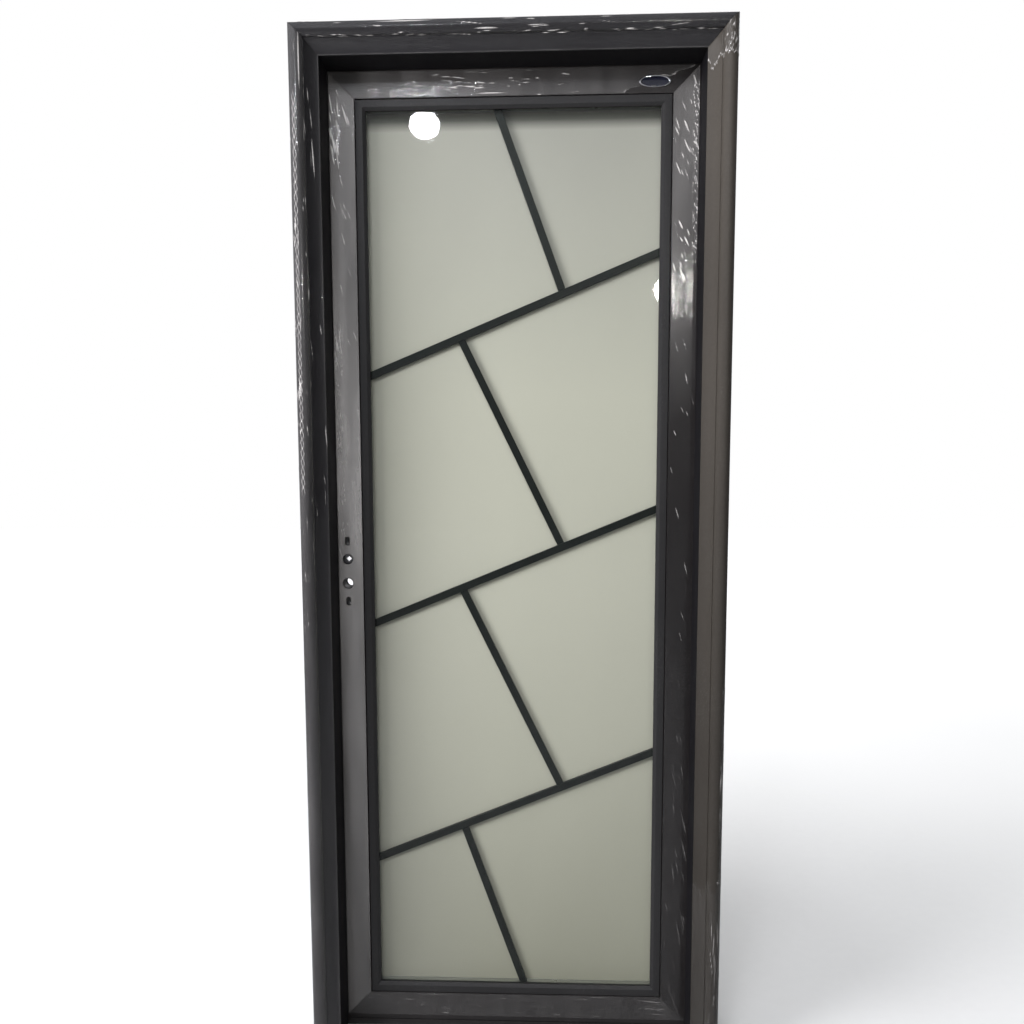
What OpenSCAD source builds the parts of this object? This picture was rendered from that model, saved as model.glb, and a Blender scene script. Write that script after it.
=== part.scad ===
// Aluminium swing door with its frame, moulded trims on both sides and a glazed leaf.
// Millimetres. X runs to the right and Y away from a person who faces the side that
// the leaf closes towards, Z is up. The origin is on the floor, at the middle of the
// width and of the depth. The leaf hangs on the right and opens away, towards +Y.

/* [Frame] */
// Overall width over the front trims
overall_w = 832; // [700:1:1100]
// Overall height from the floor to the top of the front head trim
overall_h = 2040; // [1700:1:2500]
// Depth of the jambs between the two planes where the trims sit
frame_depth = 108; // [100:1:180]
// Depth from the front plane of the jambs to the face of the leaf
recess = 65; // [50:0.5:66]
// How far the stop laps over the edge gap and the leaf
rebate = 12.5; // [10:0.5:16]
// Thickness of the jambs, from the stop face to the wall side
jamb_t = 29; // [28:0.5:40]
// Wall of the jamb extrusion
jamb_wall = 1.8; // [1.4:0.1:2.4]
// Thicker wall that takes the hinge and strike screws
rebate_wall = 4.5; // [4:0.1:6]

/* [Trims] */
// Width of the front trim
trim_w = 53; // [50:1:90]
// Height of the front trim's ridge over the plane it sits on
trim_rise = 30; // [26:1:40]
// Width of the back trim
back_trim_w = 32; // [30:1:60]
// Height of the back trim's ridge
back_trim_rise = 24; // [22:1:36]
// Wall of the trim extrusions
trim_wall = 1.6; // [1.2:0.1:2.2]
// Thickness of the leg that clips into the jamb
leg_t = 2.4; // [1.6:0.1:3]
// Depth of the front trim's leg in the jamb
leg_d = 18; // [12:1:24]
// Depth of the back trim's leg in the jamb
back_leg_d = 8; // [6:0.5:9]

/* [Leaf] */
// Thickness of the leaf
leaf_t = 40; // [36:1:44]
// Gap between the leaf's edge and the jamb
edge_gap = 3; // [2.5:0.1:5]
// Face width of the stiles and rails
face_w = 62; // [58:1:110]
// Rounding of the front outer edge of the stiles and rails
edge_r = 3; // [1:0.5:6]
// Wall of the stile and rail extrusion
leaf_wall = 2; // [1.6:0.1:3]
// Thicker wall at the edge, for the hinges and the lock
edge_wall = 4.5; // [4:0.1:6]
// Clearance under the bottom seal
floor_gap = 6; // [3:0.5:12]
// Height of the visible fins of the bottom seal
fin_h = 8; // [5:0.5:14]
// Height of the channel that carries the bottom seal
carrier_h = 6; // [5:0.5:12]

/* [Glazing] */
// Width of the glazing bead, from the stile's face to the daylight edge
bead_w = 21; // [18:1:28]
// Width of the bead's flat face
bead_flat = 15; // [10:0.5:16]
// Depth of the front pane behind the leaf's face
glass_set = 10; // [9.5:0.5:12]
// Thickness of each pane
pane_t = 5; // [4:0.5:6]
// Cavity between the panes
cavity = 12; // [10:1:14]
// Cover of the panes' edges
edge_cover = 15; // [12:0.5:17]
// Width of the spacer between the panes
spacer_w = 8; // [5:0.5:8]
// Depth of the sealant behind the spacer
sealant_w = 5; // [3:0.5:5]
// Width of the decorative bars
bar_w = 15; // [10:0.5:24]
// Thickness of the decorative bars
bar_t = 8; // [5:0.5:9]
// Slope of the long bars, rising to the right
bar_slope = 22.3; // [0:0.1:30]
// Height from one long bar to the next, on the leaf's centre line
bar_pitch = 512; // [380:1:560]
// Place across the leaf where a middle short bar meets the long bar over it
short_top_x = -108; // [-160:1:0]
// Place across the leaf where a middle short bar meets the long bar under it
short_foot_x = 100; // [0:1:160]
// Place across the leaf where the highest short bar meets the spacer
first_top_x = -30; // [-120:1:60]
// Place across the leaf where the lowest short bar meets the spacer
last_foot_x = 18; // [-60:1:120]

/* [Lock] */
// Distance from the leaf's edge to the lock's centre line
backset = 30; // [28:0.5:34]
// Height of the middle of the lock over the floor
lock_z = 1001; // [900:1:1100]
// Distance between the spindle and the cylinder
lock_centres = 50; // [44:1:56]
// Distance between the handle's two screw slots
screw_centres = 125; // [120:1:135]
// Diameter of the spindle hole in the stile
spindle_hole = 19; // [19:0.5:22]
// Diameter of the cylinder hole in the stile
cylinder_hole = 20; // [17:0.5:22]
// Width of the screw slots
slot_w = 8; // [5:0.5:9]
// Length of the screw slots
slot_l = 16; // [10:0.5:18]
// Side of the square hole in the follower
square_side = 8; // [7:0.5:9]
// Throw of the latch
latch_throw = 10.5; // [8:0.5:10.5]
// Throw of the dead bolt
dead_throw = 14; // [10:0.5:14]

/* [Hinges] */
// Height of a hinge
hinge_h = 100; // [80:1:120]
// Distance from the leaf's end to the centre of the nearest hinge
hinge_end = 230; // [180:1:300]
// Thickness of the hinge flags
flag_t = 2.5; // [2:0.1:3]
// Radius of the hinge pin
pin_r = 3; // [2.5:0.5:4]
// Radius of the hinge knuckles
knuckle_r = 6.5; // [6:0.1:7]
// Distance from the jamb's back plane to the pin's centre
pin_out = 8; // [8:0.5:10]

/* [Wall fixing] */
// Diameter of the holes for the wall screws
fix_hole = 6.5; // [5:0.5:8]
// Distance of the outer wall screws from the ends of the rebate
fix_end = 150; // [120:1:170]
// Distance from an outer wall screw to the next one
fix_step = 450; // [400:1:520]

/* [Badge] */
// Width of the blank oval badge
badge_w = 63; // [40:1:70]
// Height of the blank oval badge
badge_h = 23; // [16:1:26]
// Distance from the badge's centre to the end of the daylight
badge_in = 14; // [0:1:60]

/* [Hidden] */
// General clearances: a push fit, a free fit, a running fit on a radius
push = 0.1;
free = 0.3;
run = 0.05;
round_fn = 64;

// Frame
half_stop = overall_w / 2 - trim_w;
stop_z = overall_h - trim_w;
depth = trim_rise + frame_depth + back_trim_rise;
front_y = -depth / 2 + trim_rise;
back_y = front_y + frame_depth;
seal_t = 3;
stop_d = recess - seal_t;
stop_wall = 4.5;
leg_slot_w = leg_t + 2 * free;
leg_slot_d = leg_d + 2;
back_slot_d = back_leg_d + 2;
leg_slot_u = jamb_t - jamb_wall - leg_slot_w;
leg_lap = 3.2;
back_trim_u = leg_slot_u - leg_lap;
back_out = back_trim_u + back_trim_w;
chamber_u = rebate + rebate_wall;

// Trim outline: a lip, a cove, a quirk, then a brow that rounds over into a nose
lip_t = 3.2;
quirk_w = 1.8;
quirk_d = 0.9;
cove_sag = 2;
ridge_w = 29.5;
ridge_h = 10;
nose_r = 14;
brow_r = 16;
back_ridge_w = 22.5;
back_ridge_h = 7.5;
back_nose_r = 11;
back_brow_r = 13;
front_lap = 20;
back_lap = 16;
plate_gap = 1;

// Stop seal
seal_u = 1.5;
seal_w = 8;
root_w = 3;
root_d = 2.5;

// Leaf
leaf_w = 2 * (half_stop + rebate - edge_gap);
leaf_y = front_y + recess;
leaf_z0 = floor_gap + fin_h + carrier_h;
leaf_z1 = stop_z + rebate - edge_gap;
member = face_w + bead_w;
day_w = leaf_w - 2 * member;
day_z0 = leaf_z0 + member;
day_z1 = leaf_z1 - member;
day_h = day_z1 - day_z0;
flange_t = 2.5;
inner_wall = 3.5;
barb_v = 7;
barb_t = 1.8;
barb_d = 1.2;
rib_w = 6;
rib_h = 2.5;
rib_short = 5;
seal_root_w = 4;
seal_root_h = 3;

// Glass unit, depths counted from the leaf's face
gasket_w = 6.5;
bead_back = glass_set - 2.6;
cavity_v = glass_set + pane_t;
rear_v = cavity_v + cavity;
glass_end = rear_v + pane_t;
mid_z = (day_z0 + day_z1) / 2;
spacer_in = edge_cover - sealant_w - spacer_w;
bar_half_x = day_w / 2 + spacer_in;
bar_half_z = day_h / 2 + spacer_in;
bar_v = cavity_v + (cavity - bar_t) / 2;

// Lock
lock_x = -leaf_w / 2 + backset;
lock_y = leaf_y + leaf_t / 2;
spindle_z = lock_z + lock_centres / 2;
cylinder_z = lock_z - lock_centres / 2;
plate_t = 3;
plate_w = 22;
plate_h = 235;
case_t = 15;
case_h = 170;
case_back = 18;
case_wall = 1.5;
latch_up = 24;
latch_z = spindle_z + latch_up;
latch_h = 20;
latch_w = 11.6;
latch_l = 20;
tail_t = 2.7;
tail_h = 8;
hook_t = 2.5;
hook_drop = 13.5;
bolt_in = 0.2;
dead_h = 20;
dead_w = 11.6;
dead_l = 40;
hub_r = 9;
finger_r = 19;
finger_w = 3.6;
lock_screw_r = 2;
lock_head_r = 3.6;
lock_screw_l = 10.5;
lock_screw_end = 10;

// Strike
strike_t = 2.5;
strike_w = 24;
strike_h = 150;
strike_z = lock_z + lock_centres / 2;
box_w = 20;
box_h = 92;
box_z = (latch_z + lock_z) / 2;
box_wall = 1.2;
magnet_t = 3;
magnet_gap = 3.1;
bolt_air = 2.6;
box_reach = max(dead_throw + bolt_air, latch_throw + magnet_gap + magnet_t);
box_back = leaf_w / 2 - bolt_in + box_reach;
strike_screw_z = 63;
strike_margin = 20;

// Hinges
pin_x = leaf_w / 2 + edge_gap / 2;
pin_y = back_y + pin_out;
flag_w = 30;
leaf_flag_w = 27;
flag_back = leaf_y + leaf_t;
knuckles = 5;
knuckle_h = hinge_h / knuckles;
hinge_zs = [leaf_z0 + hinge_end, (leaf_z0 + leaf_z1) / 2, leaf_z1 - hinge_end];
flag_screw_z = 34;
screw_r = 2.3;
screw_head_r = 4.2;
screw_l = 12;
screw_shift = 5;

// Wall fixing
fix_v = (recess + frame_depth) / 2;
fix_top = stop_z + rebate - fix_end;
fix_zs = [fix_end, fix_end + fix_step, fix_top - fix_step, fix_top];

// Corner keys
key_leg = 80;
key_bar = 9;

// Points along an arc, from one angle to another
function arc(c, r, from, to, n) =
    [for (i = [0:n]) c + r * [cos(from + (to - from) * i / n), sin(from + (to - from) * i / n)]];

// ---------- Bars with mitred ends ----------

// Prism that cuts everything beyond a 45 degree mitre which starts at height z
module mitre(z, reach, deep) {
    translate([0, deep, z]) rotate([90, 0, 0]) linear_extrude(2 * deep)
        polygon([[-reach, -reach], [2 * reach, 2 * reach], [2 * reach, 4 * reach],
                 [-reach, 4 * reach]]);
}

// Upright bar. Its section lies in X, away from the opening, and Y; the bar is len long
// at X = 0 and grows by the reach of its section at each mitred end
module bar(len, reach, low, high) {
    difference() {
        translate([0, 0, low ? -reach : 0])
            linear_extrude(len + (low ? reach : 0) + (high ? reach : 0)) children();
        if (high) mitre(len, reach, 2 * depth);
        if (low) mirror([0, 0, 1]) mitre(0, reach, 2 * depth);
    }
}

// Places for the three sides of the frame; each takes a section in X and Y
module frame_right(reach) { translate([half_stop, front_y, 0]) bar(stop_z, reach, false, true) children(); }
module frame_left(reach) { mirror([1, 0, 0]) frame_right(reach) children(); }
module frame_top(reach) {
    translate([-half_stop, front_y, stop_z]) mirror([1, 0, -1])
        bar(2 * half_stop, reach, true, true) children();
}

// Places for the four sides of the leaf, counted outwards from the daylight edge
module leaf_right(reach) {
    translate([day_w / 2, leaf_y, day_z0]) bar(day_h, reach, true, true) children();
}
module leaf_left(reach) { mirror([1, 0, 0]) leaf_right(reach) children(); }
module leaf_top(reach) {
    translate([-day_w / 2, leaf_y, day_z1]) mirror([1, 0, -1]) bar(day_w, reach, true, true) children();
}
module leaf_bottom(reach) {
    translate([0, 0, 2 * mid_z]) mirror([0, 0, 1]) leaf_top(reach) children();
}

// Ring round the daylight, from one reach to a wider one, between two depths
module ring(inner, outer, v0, v1) {
    translate([0, leaf_y + v1, mid_z]) rotate([90, 0, 0]) linear_extrude(v1 - v0)
        difference() {
            square([day_w + 2 * outer, day_h + 2 * outer], center = true);
            square([day_w + 2 * inner, day_h + 2 * inner], center = true);
        }
}

// Box between two corners
module box(a, b) { translate(a) cube(b - a); }

// ---------- Sections ----------

// Jamb: stop, rebate, a slot for the trim leg at each side, and two chambers
module jamb_section() {
    difference() {
        square([jamb_t, frame_depth]);
        translate([-1, stop_d]) square([rebate + 1, frame_depth]);
        translate([leg_slot_u, -1]) square([leg_slot_w, leg_slot_d + 1]);
        translate([leg_slot_u, frame_depth - back_slot_d]) square([leg_slot_w, back_slot_d + 1]);
        translate([seal_u + (seal_w - root_w) / 2, stop_d - root_d]) square([root_w, root_d + 1]);
        translate([jamb_wall, jamb_wall])
            square([leg_slot_u - 2 * jamb_wall, stop_d - stop_wall - jamb_wall]);
        translate([jamb_wall, leg_slot_d + jamb_wall])
            square([jamb_t - 2 * jamb_wall, stop_d - stop_wall - leg_slot_d - jamb_wall]);
        translate([chamber_u, stop_d])
            square([leg_slot_u - jamb_wall - chamber_u, frame_depth - jamb_wall - stop_d]);
        translate([chamber_u, stop_d])
            square([jamb_t - jamb_wall - chamber_u,
                    frame_depth - back_slot_d - jamb_wall - stop_d]);
    }
}

// Rubber stop seal: a pad that meets the leaf and a root in the stop's groove
module stop_seal_section() {
    translate([seal_u, stop_d]) square([seal_w, seal_t - free]);
    translate([seal_u + (seal_w - root_w) / 2 + push, stop_d - root_d + push])
        square([root_w - 2 * push, root_d]);
}

// Point on the cove of a trim, a shallow hollow between the lip and the quirk
function cove(t, w, h, inset) =
    let (n = [h, -w] / norm([h, w]))
    [0, lip_t] + t * [w, h] + (cove_sag * 4 * t * (1 - t) + inset) * n;

// Outline of a trim with its ridge towards +Y: base, side, nose, brow, quirk and cove
function trim_outline(w, rise, cove_w, cove_top, nose, brow) =
    let (apex = w - nose, brow_x = cove_w + quirk_w,
         end = acos((brow_x - apex) / brow))
    concat([[0, 0], [w, 0]],
           arc([apex, rise - nose], nose, 0, 90, 14),
           arc([apex, rise - brow], brow, 90, end, 10),
           [[cove_w + quirk_w / 2, cove_top - quirk_d]],
           [for (i = [10:-1:0]) cove(i / 10, cove_w, cove_top - lip_t, 0)]);

// Cavity of the same trim, one wall inside the outline
function trim_cavity(w, rise, cove_w, cove_top, nose, brow) =
    let (apex = w - nose, brow_x = cove_w + quirk_w + trim_wall,
         end = acos((brow_x - apex) / (brow - trim_wall)),
         first = cove(0.25, cove_w, cove_top - lip_t, trim_wall))
    concat([[first[0], trim_wall], [w - trim_wall, trim_wall]],
           arc([apex, rise - nose], nose - trim_wall, 0, 90, 10),
           arc([apex, rise - brow], brow - trim_wall, 90, end, 8),
           [[brow_x, cove_top - quirk_d - 1.5 * trim_wall]],
           [for (i = [6:-1:0]) cove(0.25 + i / 10, cove_w, cove_top - lip_t, trim_wall)]);

// Trim with its back on Y = 0 and its leg in the jamb's slot
module trim_section(w, rise, cove_w, cove_top, nose, brow, leg_x, leg) {
    difference() {
        union() {
            polygon(trim_outline(w, rise, cove_w, cove_top, nose, brow));
            translate([leg_x, -leg]) square([leg_t, leg + trim_wall / 2]);
        }
        polygon(trim_cavity(w, rise, cove_w, cove_top, nose, brow));
    }
}

module front_trim_section() {
    mirror([0, 1]) trim_section(trim_w, trim_rise, trim_w - ridge_w, trim_rise - ridge_h,
                                nose_r, brow_r, leg_slot_u + free, leg_d);
}

module back_trim_section() {
    translate([back_trim_u, frame_depth])
        trim_section(back_trim_w, back_trim_rise, back_trim_w - back_ridge_w,
                     back_trim_rise - back_ridge_h, back_nose_r, back_brow_r,
                     leg_lap + free, back_leg_d);
}

// Stile or rail, X counted outwards from the daylight edge, Y from the leaf's face
module leaf_section() {
    difference() {
        union() {
            translate([bead_w, 0]) square([face_w - edge_r, leaf_t]);
            translate([bead_w, edge_r]) square([face_w, leaf_t - edge_r]);
            translate([member - edge_r, edge_r]) circle(edge_r, $fn = round_fn);
            translate([0, leaf_t - flange_t]) square([bead_w + 1, flange_t]);
        }
        translate([bead_w + inner_wall, leaf_wall])
            square([face_w - inner_wall - edge_wall, leaf_t - 2 * leaf_wall]);
        translate([bead_w - 1, barb_v - push])
            square([barb_d + free + 1, barb_t + 2 * push]);
    }
}

// Glazing bead: face, bevel, foot on the gasket, and a leg whose barb holds in the stile
module bead_section() {
    t = 1.7;
    top = 0.8;
    gap = 1.2;
    polygon([[bead_w - gap, top], [bead_w - bead_flat, top], [0, bead_back - 2.2],
             [0, bead_back], [gasket_w, bead_back], [gasket_w, bead_back - t],
             [2.6, bead_back - t], [bead_w - bead_flat + 0.6, top + t],
             [bead_w - gap - t, top + t], [bead_w - gap - t, barb_v + barb_t],
             [bead_w + barb_d, barb_v + barb_t], [bead_w + barb_d, barb_v],
             [bead_w - gap, barb_v]]);
}

// ---------- Frame ----------

// Holes for the wall screws, through both walls of the right jamb
module wall_screw_holes() {
    for (z = fix_zs)
        translate([half_stop - 1, front_y + fix_v, z]) rotate([0, 90, 0])
            cylinder(h = jamb_t + 2, d = fix_hole, $fn = round_fn);
}

// Countersunk screw that points to +X from the face at X = 0
module screw(r, head_r, len, clear) {
    rotate([0, 90, 0]) {
        cylinder(h = head_r - r + clear, r1 = head_r + clear, r2 = r + clear, $fn = round_fn);
        cylinder(h = len + clear, r = r + clear, $fn = round_fn);
    }
}

// The left jamb over its whole height, with the strike's recess and the way into the dust box
module whole_left_jamb() {
    way_w = box_w - 4 * box_wall;
    way_h = box_h - 4 * box_wall;
    difference() {
        frame_left(trim_w) jamb_section();
        mirror([1, 0, 0]) wall_screw_holes();
        box([-half_stop - rebate - strike_t - push, lock_y - strike_w / 2 - push,
             strike_z - strike_h / 2 - push],
            [-half_stop - rebate + 1, lock_y + strike_w / 2 + push, strike_z + strike_h / 2 + push]);
        box([-half_stop - chamber_u - 1, lock_y - way_w / 2, box_z - way_h / 2],
            [-half_stop - rebate, lock_y + way_w / 2, box_z + way_h / 2]);
        strike_screw_set(push);
    }
}

// Length of the left jamb around the strike, grown by a clearance. The jamb is made as this
// length and the rest, so that its collision pieces stay open where the bolts enter.
module strike_length(clear) {
    reach = strike_h / 2 + strike_margin + clear;
    box([-half_stop - jamb_t - 1, front_y - 1, strike_z - reach],
        [-half_stop + 1, back_y + 1, strike_z + reach]);
}

module jamb_left() {
    color("#4a484a") difference() {
        whole_left_jamb();
        strike_length(push);
    }
}

module jamb_left_strike() {
    color("#4a484a") intersection() {
        whole_left_jamb();
        strike_length(0);
    }
}

module jamb_right() {
    color("#4a484a") difference() {
        frame_right(trim_w) jamb_section();
        wall_screw_holes();
        for (z = hinge_zs)
            box([half_stop + rebate - 1, back_y - flag_w - push, z - hinge_h / 2 - push],
                [half_stop + rebate + flag_t + push, back_y + 1, z + hinge_h / 2 + push]);
        hinge_frame_screw_set(push);
    }
}

module head() { color("#4a484a") frame_top(trim_w) jamb_section(); }

// One L-shaped key, its two legs lightened by windows; legs run down and to the left
module corner_key(inner, outer, v0, v1, leg) {
    translate([0, v1, 0]) rotate([90, 0, 0]) linear_extrude(v1 - v0) difference() {
        polygon([[inner, inner], [inner, -leg], [outer, -leg], [outer, outer],
                 [-leg, outer], [-leg, inner]]);
        if (outer - inner > 3 * key_bar) {
            translate([inner + key_bar, -leg + key_bar])
                square([outer - inner - 2 * key_bar, leg - key_bar]);
            translate([-leg + key_bar, inner + key_bar])
                square([leg - key_bar, outer - inner - 2 * key_bar]);
        }
    }
}

module frame_corner_keys() {
    color("silver") for (side = [0, 1]) mirror([side, 0, 0])
        translate([half_stop, front_y, stop_z])
            corner_key(jamb_wall + push, jamb_t - jamb_wall - push,
                       leg_slot_d + jamb_wall + push, stop_d - stop_wall - push, key_leg);
}

module front_trim_left() { color("#4b494b") frame_left(trim_w) front_trim_section(); }
module front_trim_right() { color("#4b494b") frame_right(trim_w) front_trim_section(); }
module front_trim_head() { color("#4b494b") frame_top(trim_w) front_trim_section(); }
module back_trim_left() { color("#4b494b") frame_left(back_out) back_trim_section(); }
module back_trim_right() { color("#4b494b") frame_right(back_out) back_trim_section(); }
module back_trim_head() { color("#4b494b") frame_top(back_out) back_trim_section(); }

// Flat L plates that lie on the back wall of the trims, across each mitre
module trim_corner_plates() {
    plate = 2;
    color("silver") for (side = [0, 1]) mirror([side, 0, 0]) translate([half_stop, 0, stop_z]) {
        corner_key(trim_w - front_lap, trim_w - trim_wall - plate_gap,
                   front_y - trim_wall - plate, front_y - trim_wall, key_leg);
        corner_key(back_out - back_lap, back_out - trim_wall - plate_gap,
                   back_y + trim_wall, back_y + trim_wall + plate, key_leg);
    }
}

module stop_seal_left() { color("#1c1c1c") frame_left(trim_w) stop_seal_section(); }
module stop_seal_right() { color("#1c1c1c") frame_right(trim_w) stop_seal_section(); }
module stop_seal_head() { color("#1c1c1c") frame_top(trim_w) stop_seal_section(); }

// ---------- Strike ----------

// Countersunk screws of the strike plate, grown by a clearance where they cut holes
module strike_screw_set(clear) {
    for (side = [-1, 1])
        translate([-half_stop - rebate, lock_y, strike_z + side * strike_screw_z]) mirror([1, 0, 0])
            screw(screw_r, screw_head_r, screw_l - strike_t, clear);
}

module strike_plate() {
    color("silver") difference() {
        box([-half_stop - rebate - strike_t, lock_y - strike_w / 2, strike_z - strike_h / 2],
            [-half_stop - rebate, lock_y + strike_w / 2, strike_z + strike_h / 2]);
        bolt_way(latch_z, latch_h, latch_w, 1);
        bolt_way(lock_z, dead_h, dead_w, 1);
        strike_screw_set(push);
    }
}

// Straight way that a bolt of the given height and width passes along X
module bolt_way(z, h, w, clear) {
    box([-half_stop - jamb_t, lock_y - w / 2 - clear, z - h / 2 - clear],
        [-leaf_w / 2 + plate_t + case_wall + 1, lock_y + w / 2 + clear, z + h / 2 + clear]);
}

// Plastic dust box behind the strike plate, open towards the leaf
module strike_box() {
    color("#2a2a2a") difference() {
        box([-box_back - box_wall, lock_y - box_w / 2, box_z - box_h / 2],
            [-half_stop - chamber_u, lock_y + box_w / 2, box_z + box_h / 2]);
        box([-box_back, lock_y - box_w / 2 + box_wall, box_z - box_h / 2 + box_wall],
            [-half_stop, lock_y + box_w / 2 - box_wall, box_z + box_h / 2 - box_wall]);
    }
}

// Magnet on the back of the dust box, where the latch ends its throw
module strike_magnet() {
    face = leaf_w / 2 - bolt_in + latch_throw + magnet_gap;
    color("#7d7f82") box([-box_back, lock_y - latch_w / 2, latch_z - latch_h / 3],
                         [-face, lock_y + latch_w / 2, latch_z + latch_h / 3]);
}

module strike_screws() { color("silver") strike_screw_set(0); }

// ---------- Hinges ----------

// Flag of one hinge: a plate with every second knuckle and its neck, drilled for the pin
module flag(x0, x1, y0, y1, first) {
    difference() {
        union() {
            box([x0, y0, -hinge_h / 2], [x1, y1, hinge_h / 2]);
            for (i = [first:2:knuckles - 1]) {
                low = (i - knuckles / 2) * knuckle_h + free / 2;
                high = low + knuckle_h - free;
                translate([pin_x, pin_y, low]) cylinder(h = high - low, r = knuckle_r, $fn = round_fn);
                box([x0, y1 - 1, low], [x1, pin_y, high]);
            }
        }
        translate([pin_x, pin_y, -hinge_h]) cylinder(h = 2 * hinge_h, r = pin_r + run, $fn = round_fn);
    }
}

// Screws of one flag, along +X
module flag_screws(clear) {
    for (i = [-1:1])
        translate([0, (i == 0 ? -1 : 1) * screw_shift, i * flag_screw_z])
            screw(screw_r, screw_head_r, screw_l, clear);
}

module hinge_frame_screw_set(clear) {
    for (z = hinge_zs)
        translate([half_stop + rebate, back_y - flag_w / 2, z]) flag_screws(clear);
}

module hinge_leaf_screw_set(clear) {
    for (z = hinge_zs)
        translate([leaf_w / 2, flag_back - leaf_flag_w / 2, z]) mirror([1, 0, 0])
            flag_screws(clear);
}

module hinge_frame_flag(z) {
    color("#6b6c70") difference() {
        translate([0, 0, z]) flag(half_stop + rebate, half_stop + rebate + flag_t,
                                  back_y - flag_w, back_y, 0);
        hinge_frame_screw_set(push);
    }
}

module hinge_leaf_flag(z) {
    color("#6b6c70") difference() {
        translate([0, 0, z]) flag(leaf_w / 2 - flag_t, leaf_w / 2,
                                  flag_back - leaf_flag_w, flag_back, 1);
        hinge_leaf_screw_set(push);
    }
}

// Pin with a button at each end, outside the outer knuckles
module hinge_pins() {
    button = 2;
    crown = 1.5;
    button_r = knuckle_r - 0.5;
    color("#85868a") for (z = hinge_zs) translate([pin_x, pin_y, z]) {
        cylinder(h = hinge_h, r = pin_r, center = true, $fn = round_fn);
        for (side = [0, 1]) mirror([0, 0, side]) translate([0, 0, hinge_h / 2]) {
            cylinder(h = button, r = button_r, $fn = round_fn);
            translate([0, 0, button]) cylinder(h = crown, r1 = button_r, r2 = button_r - 2, $fn = round_fn);
        }
    }
}

module hinge_frame_screws() { color("silver") hinge_frame_screw_set(0); }
module hinge_leaf_screws() { color("silver") hinge_leaf_screw_set(0); }

// ---------- Leaf ----------

// Slot through the leaf along Y, standing upright
module screw_slot(x, z, w, l) {
    for (side = [-1, 1])
        translate([x, leaf_y - 1, z + side * (l - w) / 2]) rotate([-90, 0, 0])
            cylinder(h = leaf_t + 2, d = w, $fn = round_fn);
    box([x - w / 2, leaf_y - 1, z - (l - w) / 2], [x + w / 2, leaf_y + leaf_t + 1, z + (l - w) / 2]);
}

// Round hole through the leaf along Y
module leaf_hole(x, z, d) {
    translate([x, leaf_y - 1, z]) rotate([-90, 0, 0]) cylinder(h = leaf_t + 2, d = d, $fn = round_fn);
}

module handle_slots(w, l) {
    for (side = [-1, 1]) screw_slot(lock_x, lock_z + side * screw_centres / 2, w, l);
}

module stile_lock_side() {
    color("#5a5757") difference() {
        leaf_left(member) leaf_section();
        leaf_hole(lock_x, spindle_z, spindle_hole);
        leaf_hole(lock_x, cylinder_z, cylinder_hole);
        handle_slots(slot_w, slot_l);
        box([-leaf_w / 2 - 1, lock_y - plate_w / 2 - push, lock_z - plate_h / 2 - push],
            [-leaf_w / 2 + plate_t + push, lock_y + plate_w / 2 + push, lock_z + plate_h / 2 + push]);
        box([-leaf_w / 2, lock_y - case_t / 2 - free, lock_z - case_h / 2 - free],
            [-leaf_w / 2 + edge_wall + 1, lock_y + case_t / 2 + free, lock_z + case_h / 2 + free]);
        lock_screw_set(push);
    }
}

module stile_hinge_side() {
    color("#5a5757") difference() {
        leaf_right(member) leaf_section();
        for (z = hinge_zs)
            box([leaf_w / 2 - flag_t - push, flag_back - leaf_flag_w - push, z - hinge_h / 2 - push],
                [leaf_w / 2 + 1, flag_back + 1, z + hinge_h / 2 + push]);
        hinge_leaf_screw_set(push);
    }
}

module top_rail() { color("#5a5757") leaf_top(member) leaf_section(); }

module bottom_rail() {
    color("#5a5757") difference() {
        leaf_bottom(member) leaf_section();
        carrier_rib(push);
    }
}

module leaf_corner_keys() {
    color("silver") for (side = [0, 1], end = [0, 1])
        mirror([side, 0, 0]) translate([0, 0, mid_z]) mirror([0, 0, end])
            translate([day_w / 2, leaf_y, day_h / 2])
                corner_key(bead_w + inner_wall + push, member - edge_wall - push,
                           leaf_wall + push, leaf_t - leaf_wall - push, key_leg);
}

module bead_left() { color("#545152") leaf_left(member) bead_section(); }
module bead_right() { color("#545152") leaf_right(member) bead_section(); }
module bead_top() { color("#545152") leaf_top(member) bead_section(); }
module bead_bottom() { color("#545152") leaf_bottom(member) bead_section(); }

// Rib on the seal channel that seats in the bottom rail
module carrier_rib(clear) {
    long = leaf_w / 2 - rib_short + clear;
    wide = rib_w / 2 + clear;
    box([-long, lock_y - wide, leaf_z0 - 1], [long, lock_y + wide, leaf_z0 + rib_h + clear]);
}

module seal_root(clear) {
    long = leaf_w / 2 + clear;
    wide = seal_root_w / 2 + clear;
    low = leaf_z0 - carrier_h;
    box([-long, lock_y - wide, low - 1], [long, lock_y + wide, low + seal_root_h + clear]);
}

module seal_carrier() {
    color("#5a5757") difference() {
        union() {
            box([-leaf_w / 2, leaf_y, leaf_z0 - carrier_h], [leaf_w / 2, leaf_y + leaf_t, leaf_z0]);
            carrier_rib(0);
        }
        seal_root(push);
    }
}

// Rubber seal: a strip with a fin along each face of the leaf
module bottom_seal() {
    strip = 3;
    fin = 3;
    wide = leaf_t / 2 - 1;
    z = leaf_z0 - carrier_h;
    color("#1c1c1c") {
        box([-leaf_w / 2, lock_y - wide, z - strip], [leaf_w / 2, lock_y + wide, z]);
        seal_root(0);
        for (side = [0, 1]) translate([0, lock_y, 0]) mirror([0, side, 0])
            box([-leaf_w / 2, -wide, z - fin_h], [leaf_w / 2, fin - wide, z]);
    }
}

// ---------- Glass unit ----------

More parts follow.
